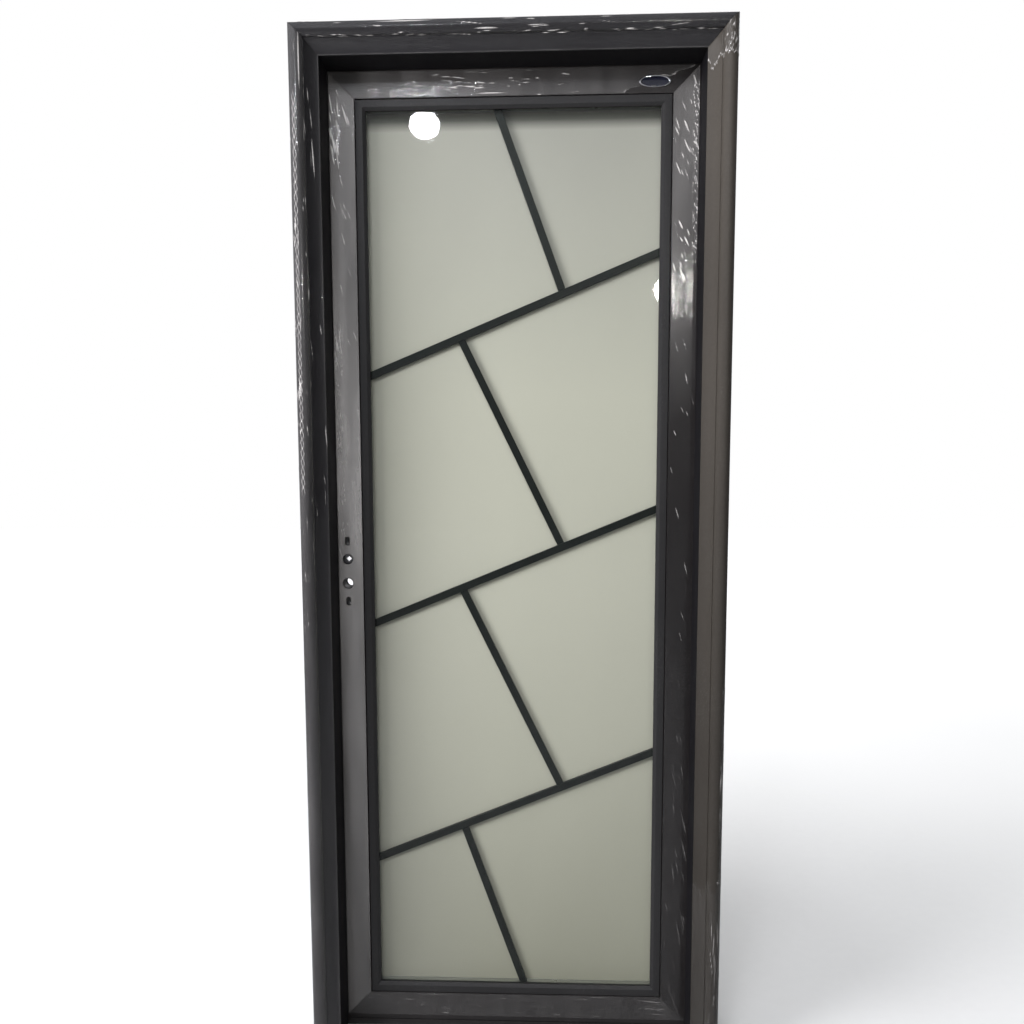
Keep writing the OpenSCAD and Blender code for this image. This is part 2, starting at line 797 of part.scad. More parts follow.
module front_gasket() { color("#1c1c1c") ring(0, gasket_w, bead_back, glass_set); }
module back_gasket() { color("#1c1c1c") ring(0, gasket_w, glass_end, leaf_t - flange_t); }

module pane(v) {
    box([-day_w / 2 - edge_cover, leaf_y + v, day_z0 - edge_cover],
        [day_w / 2 + edge_cover, leaf_y + v + pane_t, day_z1 + edge_cover]);
}

module front_pane() { color("#cfe0d8", 0.3) pane(glass_set); }
module frosted_pane() { color("#cdd0c0", 0.9) pane(rear_v); }

module spacer_frame() { color("silver") ring(spacer_in, spacer_in + spacer_w, cavity_v, rear_v); }
module edge_sealant() { color("#202020") ring(edge_cover - sealant_w, edge_cover, cavity_v, rear_v); }

// Plastic blocks between the panes' edges and the leaf: two under, two over, two a side
module setting_blocks() {
    long = 100;
    t = bead_w - edge_cover;
    side_z = 180;
    color("#303030") for (m = [0, 1]) mirror([m, 0, 0]) {
        for (z = [day_z0 - bead_w, day_z1 + edge_cover])
            box([day_w / 4, leaf_y + glass_set, z], [day_w / 4 + long, leaf_y + glass_end, z + t]);
        for (z = [day_z0 + side_z, day_z1 - side_z - long])
            box([day_w / 2 + edge_cover, leaf_y + glass_set, z],
                [day_w / 2 + bead_w, leaf_y + glass_end, z + long]);
    }
}

// Height of a long bar's centre line at a place across the leaf, for level -1, 0 or 1
function long_z(level, x) = mid_z + level * bar_pitch + x * tan(bar_slope);

// Flat piece between the panes, from an outline in X and Z
module between_panes() {
    translate([0, leaf_y + bar_v + bar_t, 0]) rotate([90, 0, 0]) linear_extrude(bar_t) children();
}

module long_bar(level) {
    h = bar_w / 2 / cos(bar_slope);
    x = bar_half_x;
    color("#141616") between_panes()
        polygon([[-x, long_z(level, -x) - h], [x, long_z(level, x) - h],
                 [x, long_z(level, x) + h], [-x, long_z(level, -x) + h]]);
}

// Outline of the field between two long bars, or a long bar and the spacer
module field(low, high) {
    h = bar_w / 2 / cos(bar_slope) + free;
    x = bar_half_x;
    under = low < -1 ? [for (s = [-x, x]) [s, mid_z - bar_half_z]]
                     : [for (s = [-x, x]) [s, long_z(low, s) + h]];
    over = high > 1 ? [for (s = [x, -x]) [s, mid_z + bar_half_z]]
                    : [for (s = [x, -x]) [s, long_z(high, s) - h]];
    polygon(concat(under, over));
}

// Band of the bars' width through two points, long enough to cross its field
module band(a, b) {
    d = (b - a) / norm(b - a);
    n = bar_w / 2 * [-d[1], d[0]];
    e = 2 * bar_w * d;
    polygon([a - e - n, b + e - n, b + e + n, a - e + n]);
}

module short_bar(low, high, top_x, foot_x) {
    top = [top_x, high > 1 ? mid_z + bar_half_z : long_z(high, top_x)];
    foot = [foot_x, low < -1 ? mid_z - bar_half_z : long_z(low, foot_x)];
    color("#141616") between_panes() intersection() {
        field(low, high);
        band(top, foot);
    }
}

// ---------- Lock ----------

module lock_screw_set(clear) {
    for (side = [-1, 1])
        translate([-leaf_w / 2, lock_y, lock_z + side * (plate_h / 2 - lock_screw_end)])
            screw(lock_screw_r, lock_head_r, lock_screw_l, clear);
}

module lock_case() {
    x0 = -leaf_w / 2 + plate_t;
    x1 = lock_x + case_back;
    color("#8d9094") difference() {
        box([x0, lock_y - case_t / 2, lock_z - case_h / 2], [x1, lock_y + case_t / 2, lock_z + case_h / 2]);
        box([x0 + case_wall, lock_y - case_t / 2 + case_wall, lock_z - case_h / 2 + case_wall],
            [x1 - case_wall, lock_y + case_t / 2 - case_wall, lock_z + case_h / 2 - case_wall]);
        leaf_hole(lock_x, spindle_z, 2 * (hub_r + run));
        leaf_hole(lock_x, cylinder_z, cylinder_hole + 1);
        handle_slots(slot_w + 1, slot_l + 1);
        bolt_way(latch_z, latch_h, latch_w, free);
        bolt_way(lock_z, dead_h, dead_w, free);
    }
}

module lock_front() {
    color("#b4b6b8") difference() {
        box([-leaf_w / 2, lock_y - plate_w / 2, lock_z - plate_h / 2],
            [-leaf_w / 2 + plate_t, lock_y + plate_w / 2, lock_z + plate_h / 2]);
        bolt_way(latch_z, latch_h, latch_w, free);
        bolt_way(lock_z, dead_h, dead_w, free);
        lock_screw_set(push);
    }
}

module lock_front_screws() { color("silver") lock_screw_set(0); }

// Latch: head in the lock front, tail along one side of the case, hook behind the follower
module latch_bolt() {
    x = -leaf_w / 2 + bolt_in;
    side = lock_y - latch_w / 2;
    hook = lock_x + case_back - case_wall - 1;
    color("#c4c6c8") {
        box([x, side, latch_z - latch_h / 2], [x + latch_l, side + latch_w, latch_z + latch_h / 2]);
        box([x, side, latch_z - tail_h / 2], [hook, side + tail_t, latch_z + tail_h / 2]);
        box([hook - hook_t, side, latch_z - hook_drop], [hook, side + latch_w, latch_z + tail_h / 2]);
    }
}

module dead_bolt() {
    x = -leaf_w / 2 + bolt_in;
    color("#c4c6c8")
        box([x, lock_y - dead_w / 2, lock_z - dead_h / 2],
            [x + dead_l, lock_y + dead_w / 2, lock_z + dead_h / 2]);
}

// Follower: hub that turns in the case, a square hole for the spindle, and a finger
module follower() {
    color("#a5a7aa") difference() {
        union() {
            translate([lock_x, lock_y, spindle_z]) rotate([90, 0, 0])
                cylinder(h = case_t, r = hub_r, center = true, $fn = round_fn);
            box([lock_x - finger_w / 2, lock_y - latch_w / 2 + tail_t + 0.6, spindle_z],
                [lock_x + finger_w / 2, lock_y + latch_w / 2, spindle_z + finger_r]);
        }
        translate([lock_x, lock_y, spindle_z]) rotate([0, 45, 0])
            cube([square_side, leaf_t, square_side], center = true);
    }
}

// ---------- Badge ----------

// Blank oval plate with a raised rim
module badge() {
    below = 9;
    plate = 1.4;
    rim_t = 2.2;
    rim = 1.6;
    x = day_w / 2 - badge_in;
    z = leaf_z1 - face_w / 2 - below;
    color("#15171c") translate([x, leaf_y, z]) rotate([90, 0, 0]) {
        linear_extrude(plate) polygon(oval(badge_w, badge_h));
        linear_extrude(rim_t) difference() {
            polygon(oval(badge_w, badge_h));
            polygon(oval(badge_w - 2 * rim, badge_h - 2 * rim));
        }
    }
}

// Ellipse of a given width and height
function oval(w, h) = [for (i = [0:47]) [w / 2 * cos(i * 7.5), h / 2 * sin(i * 7.5)]];

jamb_left();
jamb_left_strike();
jamb_right();
head();
frame_corner_keys();
front_trim_left();
front_trim_right();
front_trim_head();
back_trim_left();
back_trim_right();
back_trim_head();
trim_corner_plates();
stop_seal_left();
stop_seal_right();
stop_seal_head();
strike_plate();
strike_box();
strike_magnet();
strike_screws();
hinge_frame_flag(hinge_zs[2]);  // hinge_frame_flag_top
hinge_frame_flag(hinge_zs[1]);  // hinge_frame_flag_middle
hinge_frame_flag(hinge_zs[0]);  // hinge_frame_flag_bottom
hinge_pins();
hinge_frame_screws();
stile_lock_side();
stile_hinge_side();
top_rail();
bottom_rail();
leaf_corner_keys();
bead_left();
bead_right();
bead_top();
bead_bottom();
front_gasket();
back_gasket();
front_pane();
frosted_pane();
spacer_frame();
edge_sealant();
setting_blocks();
long_bar(1);  // long_bar_top
long_bar(0);  // long_bar_middle
long_bar(-1);  // long_bar_bottom
short_bar(1, 2, first_top_x, short_foot_x);  // short_bar_1
short_bar(0, 1, short_top_x, short_foot_x);  // short_bar_2
short_bar(-1, 0, short_top_x, short_foot_x);  // short_bar_3
short_bar(-2, -1, short_top_x, last_foot_x);  // short_bar_4
seal_carrier();
bottom_seal();
badge();
hinge_leaf_flag(hinge_zs[2]);  // hinge_leaf_flag_top
hinge_leaf_flag(hinge_zs[1]);  // hinge_leaf_flag_middle
hinge_leaf_flag(hinge_zs[0]);  // hinge_leaf_flag_bottom
hinge_leaf_screws();
lock_case();
lock_front();
lock_front_screws();
latch_bolt();
dead_bolt();
follower();
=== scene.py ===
import math

import bmesh
import bpy
import numpy as np
from bpy.props import FloatProperty, FloatVectorProperty, IntProperty, PointerProperty
from mathutils import Matrix, Vector


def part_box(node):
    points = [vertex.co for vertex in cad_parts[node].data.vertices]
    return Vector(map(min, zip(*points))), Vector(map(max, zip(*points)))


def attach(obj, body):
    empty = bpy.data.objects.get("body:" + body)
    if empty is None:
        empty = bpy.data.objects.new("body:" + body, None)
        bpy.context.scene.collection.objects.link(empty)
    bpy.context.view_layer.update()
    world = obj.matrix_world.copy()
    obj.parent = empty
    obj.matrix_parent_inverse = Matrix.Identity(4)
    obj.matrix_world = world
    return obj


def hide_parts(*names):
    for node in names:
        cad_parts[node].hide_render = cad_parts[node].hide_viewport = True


bl_info = {
    "name": "Glazed entrance door",
    "version": (1, 0, 0),
    "blender": (4, 5, 0),
    "location": "View3D > Sidebar > Door",
    "description": "Shapes and finishes of a glazed aluminium door in its trimmed frame",
    "category": "Object",
}

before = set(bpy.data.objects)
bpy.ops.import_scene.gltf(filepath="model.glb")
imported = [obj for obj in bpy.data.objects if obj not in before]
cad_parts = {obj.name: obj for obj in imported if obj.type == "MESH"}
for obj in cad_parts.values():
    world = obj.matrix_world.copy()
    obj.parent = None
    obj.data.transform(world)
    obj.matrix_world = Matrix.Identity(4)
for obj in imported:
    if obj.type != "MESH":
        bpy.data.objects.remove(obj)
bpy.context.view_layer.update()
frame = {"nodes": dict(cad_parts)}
NODES = frame["nodes"]
MM = 0.001


def corners(node):
    """Lowest and highest corner of a CAD node, as arrays."""
    low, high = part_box(node)
    return np.array(low), np.array(high)


# Places that the pieces share, read from the frame; the stiles' width is in millimetres
JAMB_LOW, JAMB_HIGH = corners("jamb_right")
STILE_LOW, STILE_HIGH = corners("stile_hinge_side")
LOCK_LOW, LOCK_HIGH = corners("lock_front")
STILE_WIDE = 83
FACE_Y = STILE_LOW[1]
STOP_Z = corners("head")[0][2]
DAY_X = STILE_LOW[0]
PANE_TOP = STILE_HIGH[2] - STILE_WIDE * MM
PANE_FOOT = STILE_LOW[2] + STILE_WIDE * MM
FOLLOWER_R = 9 * MM
LOCK_X = corners("follower")[0][0] + FOLLOWER_R
LOCK_Z = (LOCK_LOW[2] + LOCK_HIGH[2]) / 2

# A ring is the opening that bars stand round: half width, foot (None is the floor), top, the depth of
# its profiles' zero, and the way in which that depth counts
FRONT_RING = (JAMB_LOW[0], None, STOP_Z, JAMB_LOW[1], -1)
BACK_RING = (JAMB_LOW[0], None, STOP_Z, JAMB_HIGH[1], 1)
LEAF_RING = (DAY_X, PANE_FOOT, PANE_TOP, FACE_Y, 1)

# The protective film: air under it, its thickness, the steps of its grid across and along a bar, and
# the half widths of most of its ridges
FILM_GAP = 0.12 * MM
FILM_SKIN = 0.06 * MM
FILM_STEP = 1.25 * MM
FILM_ROW = 3.2 * MM
THIN = (0.0005, 0.001)


# ---- User settings ----


class DoorSizes(bpy.types.PropertyGroup):
    edge: FloatProperty(
        name="Edge rounding",
        description="Radius of the small roundings on the profiles",
        default=0.0006, min=0.0001, max=0.0015, unit="LENGTH",
    )
    crease: FloatProperty(
        name="Crease height",
        description="Greatest height of a wrinkle in the protective film",
        default=0.0009, min=0.0, max=0.003, unit="LENGTH",
    )
    seed: IntProperty(
        name="Seed",
        description="Start of the random wrinkles, another number gives other wrinkles",
        default=7, min=0,
    )
    bar_bevel: FloatProperty(
        name="Bar bevel",
        description="Bevel on the edges of the decorative bars",
        default=0.0009, min=0.0002, max=0.003, unit="LENGTH",
    )
    badge_dome: FloatProperty(
        name="Badge dome",
        description="Height of the badge's face over its rim's foot",
        default=0.0017, min=0.0, max=0.0022, unit="LENGTH",
    )


class DoorColours(bpy.types.PropertyGroup):
    frame: FloatVectorProperty(
        name="Frame paint",
        description="Main colour of the jambs and trims",
        default=(0.0120, 0.0113, 0.0130), min=0, max=1, subtype="COLOR",
    )
    leaf: FloatVectorProperty(
        name="Leaf paint",
        description="Main colour of the stiles and rails",
        default=(0.0145, 0.0130, 0.0130), min=0, max=1, subtype="COLOR",
    )
    bead: FloatVectorProperty(
        name="Bead paint",
        description="Main colour of the glazing beads",
        default=(0.019, 0.0185, 0.019), min=0, max=1, subtype="COLOR",
    )
    frosted: FloatVectorProperty(
        name="Frosted glass",
        description="Colour of the frosted pane",
        default=(0.50, 0.465, 0.415), min=0, max=1, subtype="COLOR",
    )
    bars: FloatVectorProperty(
        name="Bars",
        description="Colour of the bars between the panes",
        default=(0.006, 0.007, 0.007), min=0, max=1, subtype="COLOR",
    )


def sizes():
    return bpy.context.scene.door_sizes


def colours():
    return bpy.context.scene.door_colours


# ---- Node groups ----

GROUPS = {}
MATERIALS = {}


class Wiring:
    """Short ways to add and link nodes in one tree."""

    def __init__(self, tree):
        self.tree = tree

    def node(self, kind, **values):
        node = self.tree.nodes.new(kind)
        for name, value in values.items():
            setattr(node, name, value)
        return node

    def link(self, source, target):
        self.tree.links.new(source, target)

    def feed(self, socket, value):
        if isinstance(value, bpy.types.NodeSocket):
            self.link(value, socket)
        else:
            socket.default_value = value

    def math(self, operation, *values):
        node = self.node("ShaderNodeMath", operation=operation)
        for socket, value in zip(node.inputs, values):
            self.feed(socket, value)
        return node.outputs[0]

    def noise(self, vector, scale, detail=2.0, rough=0.5):
        node = self.node("ShaderNodeTexNoise")
        self.feed(node.inputs["Vector"], vector)
        self.feed(node.inputs["Scale"], scale)
        node.inputs["Detail"].default_value = detail
        node.inputs["Roughness"].default_value = rough
        return node.outputs["Fac"]

    def stretch(self, vector, factor):
        node = self.node("ShaderNodeVectorMath", operation="MULTIPLY")
        self.feed(node.inputs[0], vector)
        self.feed(node.inputs[1], factor)
        return node.outputs[0]

    def split(self, vector):
        node = self.node("ShaderNodeSeparateXYZ")
        self.link(vector, node.inputs[0])
        return node.outputs

    def spread(self, value, low, high, first=0.0, last=1.0):
        node = self.node("ShaderNodeMapRange")
        for socket, v in zip(node.inputs, (value, low, high, first, last)):
            self.feed(socket, v)
        return node.outputs[0]

    def mix(self, factor, a, b):
        node = self.node("ShaderNodeMix", data_type="RGBA")
        self.feed(node.inputs["Factor"], factor)
        self.feed(node.inputs[6], a)
        self.feed(node.inputs[7], b)
        return node.outputs[2]

    def blend(self, factor, first, second):
        """Mix of two shader nodes."""
        node = self.node("ShaderNodeMixShader")
        for socket, value in zip(node.inputs, (factor, first.outputs[0], second.outputs[0])):
            self.link(value, socket)
        return node

    def outer_mirror(self, ior):
        """Share of light mirrored by a closed clear body: Fresnel on its outer skin, none from within."""
        edge = self.node("ShaderNodeFresnel")
        edge.inputs["IOR"].default_value = ior
        outside = self.math("SUBTRACT", 1.0, self.node("ShaderNodeNewGeometry").outputs["Backfacing"])
        return self.math("MULTIPLY", edge.outputs[0], outside)


def new_group(name, inputs, outputs):
    """Node group with named inputs (kind, name, default) and outputs (kind, name)."""
    tree = bpy.data.node_groups.new(name, "ShaderNodeTree")
    for kind, label, default in inputs:
        socket = tree.interface.new_socket(label, in_out="INPUT", socket_type="NodeSocket" + kind)
        if default is not None:
            socket.default_value = default
    for kind, label in outputs:
        tree.interface.new_socket(label, in_out="OUTPUT", socket_type="NodeSocket" + kind)
    wires = Wiring(tree)
    GROUPS[name] = tree
    return wires, wires.node("NodeGroupInput").outputs, wires.node("NodeGroupOutput").inputs


def build_groups():
    """The effects that several materials share."""
    w, i, o = new_group(
        "Colour drift",
        [
            ("Vector", "Vector", None),
            ("Color", "Colour", (0.5, 0.5, 0.5, 1)),
            ("Color", "Second", (0.5, 0.5, 0.5, 1)),
            ("Float", "Scale", 3.0),
        ],
        [("Color", "Colour")],
    )
    slow = w.noise(w.stretch(i["Vector"], (1, 1, 0.35)), i["Scale"], 3.0, 0.55)
    fine = w.noise(i["Vector"], w.math("MULTIPLY", i["Scale"], 60.0), 2.0)
    both = w.math("ADD", w.math("MULTIPLY", slow, 0.8), w.math("MULTIPLY", fine, 0.2))
    w.link(w.mix(w.spread(both, 0.36, 0.64), i["Colour"], i["Second"]), o["Colour"])

    w, i, o = new_group(
        "Coat relief",
        [("Vector", "Vector", None), ("Float", "Scale", 420.0), ("Float", "Waves", 0.4)],
        [("Float", "Height")],
    )
    peel = w.noise(i["Vector"], i["Scale"], 2.0, 0.6)
    waves = w.noise(w.stretch(i["Vector"], (1, 1, 0.3)), w.math("MULTIPLY", i["Scale"], 0.06), 1.0)
    w.link(w.math("ADD", peel, w.math("MULTIPLY", waves, i["Waves"])), o["Height"])

    w, i, o = new_group(
        "Dust and rub",
        [
            ("Vector", "Vector", None),
            ("Float", "Low roughness", 0.3),
            ("Float", "High roughness", 0.5),
            ("Float", "Dust", 0.1),
        ],
        [("Float", "Roughness"), ("Float", "Dust")],
    )
    cloud = w.noise(w.stretch(i["Vector"], (1, 1, 0.5)), 14.0, 4.0, 0.62)
    grains = w.noise(i["Vector"], 900.0, 1.0)
    grains = w.math("MULTIPLY", w.spread(grains, 0.62, 0.74), w.spread(cloud, 0.4, 0.7))
    rough = w.spread(cloud, 0.3, 0.7, i["Low roughness"], i["High roughness"])
    w.link(rough, o["Roughness"])
    w.link(w.math("MULTIPLY", grains, i["Dust"]), o["Dust"])

    w, i, o = new_group(
        "Brushed lines",
        [("Vector", "Vector", None), ("Vector", "Stretch", (60, 60, 4)), ("Float", "Scale", 40.0)],
        [("Float", "Lines")],
    )
    w.link(w.noise(w.stretch(i["Vector"], i["Stretch"]), i["Scale"], 2.0, 0.7), o["Lines"])


def place(wires, name, **values):
    """One of the shared groups in a material's tree, its inputs fed or set."""
    node = wires.node("ShaderNodeGroup", node_tree=GROUPS[name])
    for label, value in values.items():
        wires.feed(node.inputs[label.replace("_", " ")], value)
    return node.outputs


def new_material(name):
    """Material with one Principled BSDF; returns its wiring, whose surface is the output's socket,
    that shader and Object coordinates."""
    material = bpy.data.materials.new(name)
    material.use_nodes = True
    wires = Wiring(material.node_tree)
    wires.tree.nodes.clear()
    shader = wires.node("ShaderNodeBsdfPrincipled")
    wires.surface = wires.node("ShaderNodeOutputMaterial").inputs[0]
    wires.link(shader.outputs[0], wires.surface)
    coordinates = wires.node("ShaderNodeTexCoord").outputs["Object"]
    MATERIALS[name] = material
    return wires, shader, coordinates


def bump(wires, shader, height, distance, strength):
    node = wires.node("ShaderNodeBump")
    node.inputs["Strength"].default_value = strength
    node.inputs["Distance"].default_value = distance
    wires.link(height, node.inputs["Height"])
    wires.link(node.outputs[0], shader.inputs["Normal"])


def rgba(colour, factor=1.0):
    """Colour with full alpha, times one factor or one for each channel."""
    return tuple(min(1.0, float(c)) for c in np.array(colour, float) * factor) + (1.0,)


def paint(name, colour, lighter=1.35, low=0.34, high=0.5, dust=0.2, relief=0.00012, specular=0.35, foot_shade=1.0):
    """Powder coat: drifting colour, fine orange peel, dust in places, and painted shade that darkens it
    towards the foot, to the share of colour that the last argument leaves there.
    """
    w, shader, at = new_material(name)
    drift = place(w, "Colour drift", Vector=at, Colour=rgba(colour), Second=rgba(colour, lighter))
    wear = place(w, "Dust and rub", Vector=at, Low_roughness=low, High_roughness=high, Dust=dust)
    # Painted shade: the colour falls to the last argument's share at 0.2 m up and is whole at 1.8 m, as if
    # less light reached the foot.
    share = w.spread(w.split(at)["Z"], 0.2, 1.8, foot_shade, 1.0)
    shade = w.mix(share, (0, 0, 0, 1), drift["Colour"])
    w.link(w.mix(wear["Dust"], shade, (0.42, 0.41, 0.4, 1)), shader.inputs["Base Color"])
    w.link(wear["Roughness"], shader.inputs["Roughness"])
    shader.inputs["Specular IOR Level"].default_value = specular
    bump(w, shader, place(w, "Coat relief", Vector=at)["Height"], relief, 0.6)


def metal(name, colour, low=0.25, high=0.45):
    """Bare metal with fine drawn lines."""
    w, shader, at = new_material(name)
    lines = place(w, "Brushed lines", Vector=at)["Lines"]
    wear = place(w, "Dust and rub", Vector=at, Low_roughness=low, High_roughness=high, Dust=0.05)
    shade = w.mix(w.spread(lines, 0.3, 0.7), rgba(colour, 0.8), rgba(colour, 1.1))
    w.link(w.mix(wear["Dust"], shade, (0.2, 0.18, 0.16, 1)), shader.inputs["Base Color"])
    w.link(wear["Roughness"], shader.inputs["Roughness"])
    shader.inputs["Metallic"].default_value = 1.0
    bump(w, shader, lines, 0.00004, 0.5)


def soft(name, colour, rough=0.8):
    """Rubber or matt plastic, with a fine grain and a dusty bloom."""
    w, shader, at = new_material(name)
    drift = place(w, "Colour drift", Vector=at, Colour=rgba(colour), Second=rgba(colour, 2.0), Scale=9.0)
    wear = place(w, "Dust and rub", Vector=at, Low_roughness=rough - 0.1, High_roughness=rough, Dust=0.3)
    w.link(w.mix(wear["Dust"], drift["Colour"], (0.3, 0.3, 0.29, 1)), shader.inputs["Base Color"])
    w.link(wear["Roughness"], shader.inputs["Roughness"])
    relief = place(w, "Coat relief", Vector=at, Scale=500.0, Waves=0.2)
    bump(w, shader, relief["Height"], 0.0001, 0.5)


def clear_glass():
    """Clear pane: a mirror image that grows towards grazing light, over a faint green tint."""
    w, shader, at = new_material("Clear glass")
    w.tree.nodes.remove(shader)
    through = w.node("ShaderNodeBsdfTransparent")
    through.inputs["Color"].default_value = (0.955, 0.975, 0.955, 1)
    mirror = w.node("ShaderNodeBsdfGlossy")
    mirror.inputs["Color"].default_value = (1, 1, 1, 1)
    smear = w.noise(w.stretch(at, (1, 1, 0.4)), 7.0, 4.0, 0.6)
    w.link(w.spread(smear, 0.45, 0.75, 0.02, 0.035), mirror.inputs["Roughness"])
    w.link(w.blend(w.outer_mirror(1.4), through, mirror).outputs[0], w.surface)


def frosted_glass():
    """Satin pane: pale warm grey and cloudy, with painted shade that deepens it towards the foot and greys it
    towards the top, a painted reflection of a dark room that greys it towards the left, and a painted shadow
    along its upper edge."""
    w, shader, at = new_material("Frosted glass")
    colour = colours().frosted
    cloud = w.noise(w.stretch(at, (1, 1, 0.45)), 2.2, 3.0, 0.5)
    fine = w.noise(at, 1400.0, 1.0)
    x, _, z = w.split(at)
    # Painted shade: darker towards the foot, and greyer and a little bluer towards the top.
    rise = w.math("POWER", w.spread(z, 0.1, 0.95), 0.6)
    shade = w.mix(rise, rgba(colour, (0.62, 0.62, 0.58)), rgba(colour))
    shade = w.mix(w.spread(z, 1.35, 1.95), shade, rgba(colour, (0.66, 0.66, 0.71)))
    # Painted reflection of a dark room: greyer towards the left.
    left = w.spread(x, -0.28, -0.02, 0.6, 0.0)
    shade = w.mix(left, shade, rgba(colour, (0.72, 0.72, 0.74)))
    shade = w.mix(w.spread(cloud, 0.4, 0.7, 0.0, 0.22), shade, rgba(colour, 1.2))
    # Painted shadow along the upper edge, as cast by the head and the bead.
    under = w.spread(z, PANE_TOP - 0.034, PANE_TOP - 0.014, 0.0, 0.93)
    shade = w.mix(under, shade, rgba(colour, 0.1))
    w.link(shade, shader.inputs["Base Color"])
    w.link(w.spread(fine, 0.3, 0.7, 0.42, 0.55), shader.inputs["Roughness"])
    bump(w, shader, fine, 0.00003, 0.4)


def film():
    """Clinging film: clear with a soft mirror image, and white where it creases and where it is hazy; that
    white is partly the film's own whitening and partly painted highlights and sheen for the glints and sheen
    it shows under lamps.
    """
    w, shader, at = new_material("Protective film")
    crease = w.node("ShaderNodeAttribute", attribute_name="crease").outputs["Fac"]
    fine = w.noise(w.stretch(at, (1, 1, 0.3)), 900.0, 3.0, 0.7)
    broken = w.math("MULTIPLY", crease, w.spread(fine, 0.25, 0.6, 0.5, 1.0))
    cloud = w.noise(w.stretch(at, (1, 1, 0.12)), 26.0, 3.0, 0.6)
    # Hazy sheen from the sheet's attribute: partly the film's own whitening, partly painted sheen.
    haze_and_sheen = w.node("ShaderNodeAttribute", attribute_name="haze_and_sheen").outputs["Fac"]
    haze_and_sheen = w.math("MULTIPLY", haze_and_sheen, w.spread(cloud, 0.35, 0.7, 0.6, 1.4))
    # White at creases and hazy places: partly whitened film, partly painted highlights and sheen.
    whitened_and_glinting = w.math("MAXIMUM", w.spread(broken, 0.12, 0.9, 0.0, 0.9), haze_and_sheen)
    shader.inputs["Base Color"].default_value = (0.86, 0.83, 0.805, 1)
    w.link(w.spread(fine, 0.3, 0.7, 0.2, 0.45), shader.inputs["Roughness"])
    through = w.node("ShaderNodeBsdfTransparent")
    mirror = w.node("ShaderNodeBsdfGlossy")
    w.link(w.spread(fine, 0.2, 0.8, 0.04, 0.16), mirror.inputs["Roughness"])
    relief = w.node("ShaderNodeBump")
    relief.inputs["Strength"].default_value = 0.7
    relief.inputs["Distance"].default_value = 0.0002
    ripple = w.noise(w.stretch(at, (1, 1, 0.5)), 330.0, 3.0, 0.6)
    w.link(ripple, relief.inputs["Height"])
    w.link(relief.outputs[0], mirror.inputs["Normal"])
    w.link(relief.outputs[0], shader.inputs["Normal"])
    clear = w.blend(w.outer_mirror(1.5), through, mirror)
    w.link(w.blend(whitened_and_glinting, clear, shader).outputs[0], w.surface)


def badge_face():
    """Dark blue enamel under a clear coat."""
    w, shader, at = new_material("Badge enamel")
    deep, light = (0.010, 0.012, 0.022, 1), (0.016, 0.018, 0.034, 1)
    drift = place(w, "Colour drift", Vector=at, Colour=deep, Second=light, Scale=40.0)
    w.link(drift["Colour"], shader.inputs["Base Color"])
    wear = place(w, "Dust and rub", Vector=at, Low_roughness=0.12, High_roughness=0.25, Dust=0.1)
    w.link(wear["Roughness"], shader.inputs["Roughness"])
    shader.inputs["Coat Weight"].default_value = 0.6


def build_materials():
    c = colours()
    paint("Frame paint", c.frame)
    # The bare right trim's paint: the frame paint made several times lighter, painted light for the light
    # that falls on it from the left, and a little warmer; darkened towards its foot as painted shade.
    warm = tuple(v * k for v, k in zip(c.frame, (4.5, 4.2, 3.1)))
    paint("Bare trim paint with painted light", warm, low=0.42, high=0.56, relief=0.00008, foot_shade=0.45)
    # Jambs and head: the frame paint made darker and duller, painted shade for their recessed reveals.
    paint("Jamb paint with painted shade", tuple(v * 0.7 for v in c.frame), low=0.55, high=0.7, specular=0.12)
    paint("Leaf paint", c.leaf)
    paint("Bead paint", c.bead, low=0.38, high=0.5)
    paint("Hinge paint", (0.12, 0.12, 0.13), low=0.3, high=0.4)
    paint("Bar paint", c.bars, lighter=1.8, low=0.35, high=0.5, dust=0.05)
    metal("Mill aluminium", (0.62, 0.63, 0.64))
    metal("Zinc plated steel", (0.5, 0.5, 0.51))
    metal("Bright rim", (0.75, 0.75, 0.77), low=0.12, high=0.25)
    soft("Rubber", (0.012, 0.012, 0.012))
    soft("Black plastic", (0.02, 0.02, 0.02), rough=0.6)
    clear_glass()
    frosted_glass()
    film()
    badge_face()


# ---- Mesh building ----


def finish_piece(obj, body, slot_name, *replaced):
    """Puts a new piece on its body and hides the CAD nodes it stands for; slot_name is not used."""
    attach(obj, body)
    if replaced:
        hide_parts(*replaced)


def linked(name, data):
    """New object for a mesh, light or camera, in the scene's collection."""
    obj = bpy.data.objects.new(name, data)
    bpy.context.scene.collection.objects.link(obj)
    return obj


def new_object(name, points, faces, materials, smooth=28.0):
    """Object from arrays of points and faces, its sharp edges marked by angle."""
    mesh = bpy.data.meshes.new(name)
    mesh.from_pydata(np.asarray(points, float).tolist(), [], [list(f) for f in faces])
    mesh.update()
    work = bmesh.new()
    work.from_mesh(mesh)
    bmesh.ops.recalc_face_normals(work, faces=work.faces)
    work.to_mesh(mesh)
    work.free()
    mesh.shade_smooth()
    mesh.set_sharp_from_angle(angle=math.radians(smooth))
    for material in materials:
        mesh.materials.append(MATERIALS[material])
    return linked(name, mesh)


def grid_faces(rows, columns, wrap=False):
    """Quads of a grid, point (r, c) at r * columns + c; with wrap the last column joins the first."""
    r, c = np.arange(rows - 1), np.arange(columns if wrap else columns - 1)
    r, c = (a.ravel() for a in np.meshgrid(r, c, indexing="ij"))
    r1, c1 = r + 1, (c + 1) % columns
    return np.stack([r * columns + c, r * columns + c1, r1 * columns + c1, r1 * columns + c], 1)


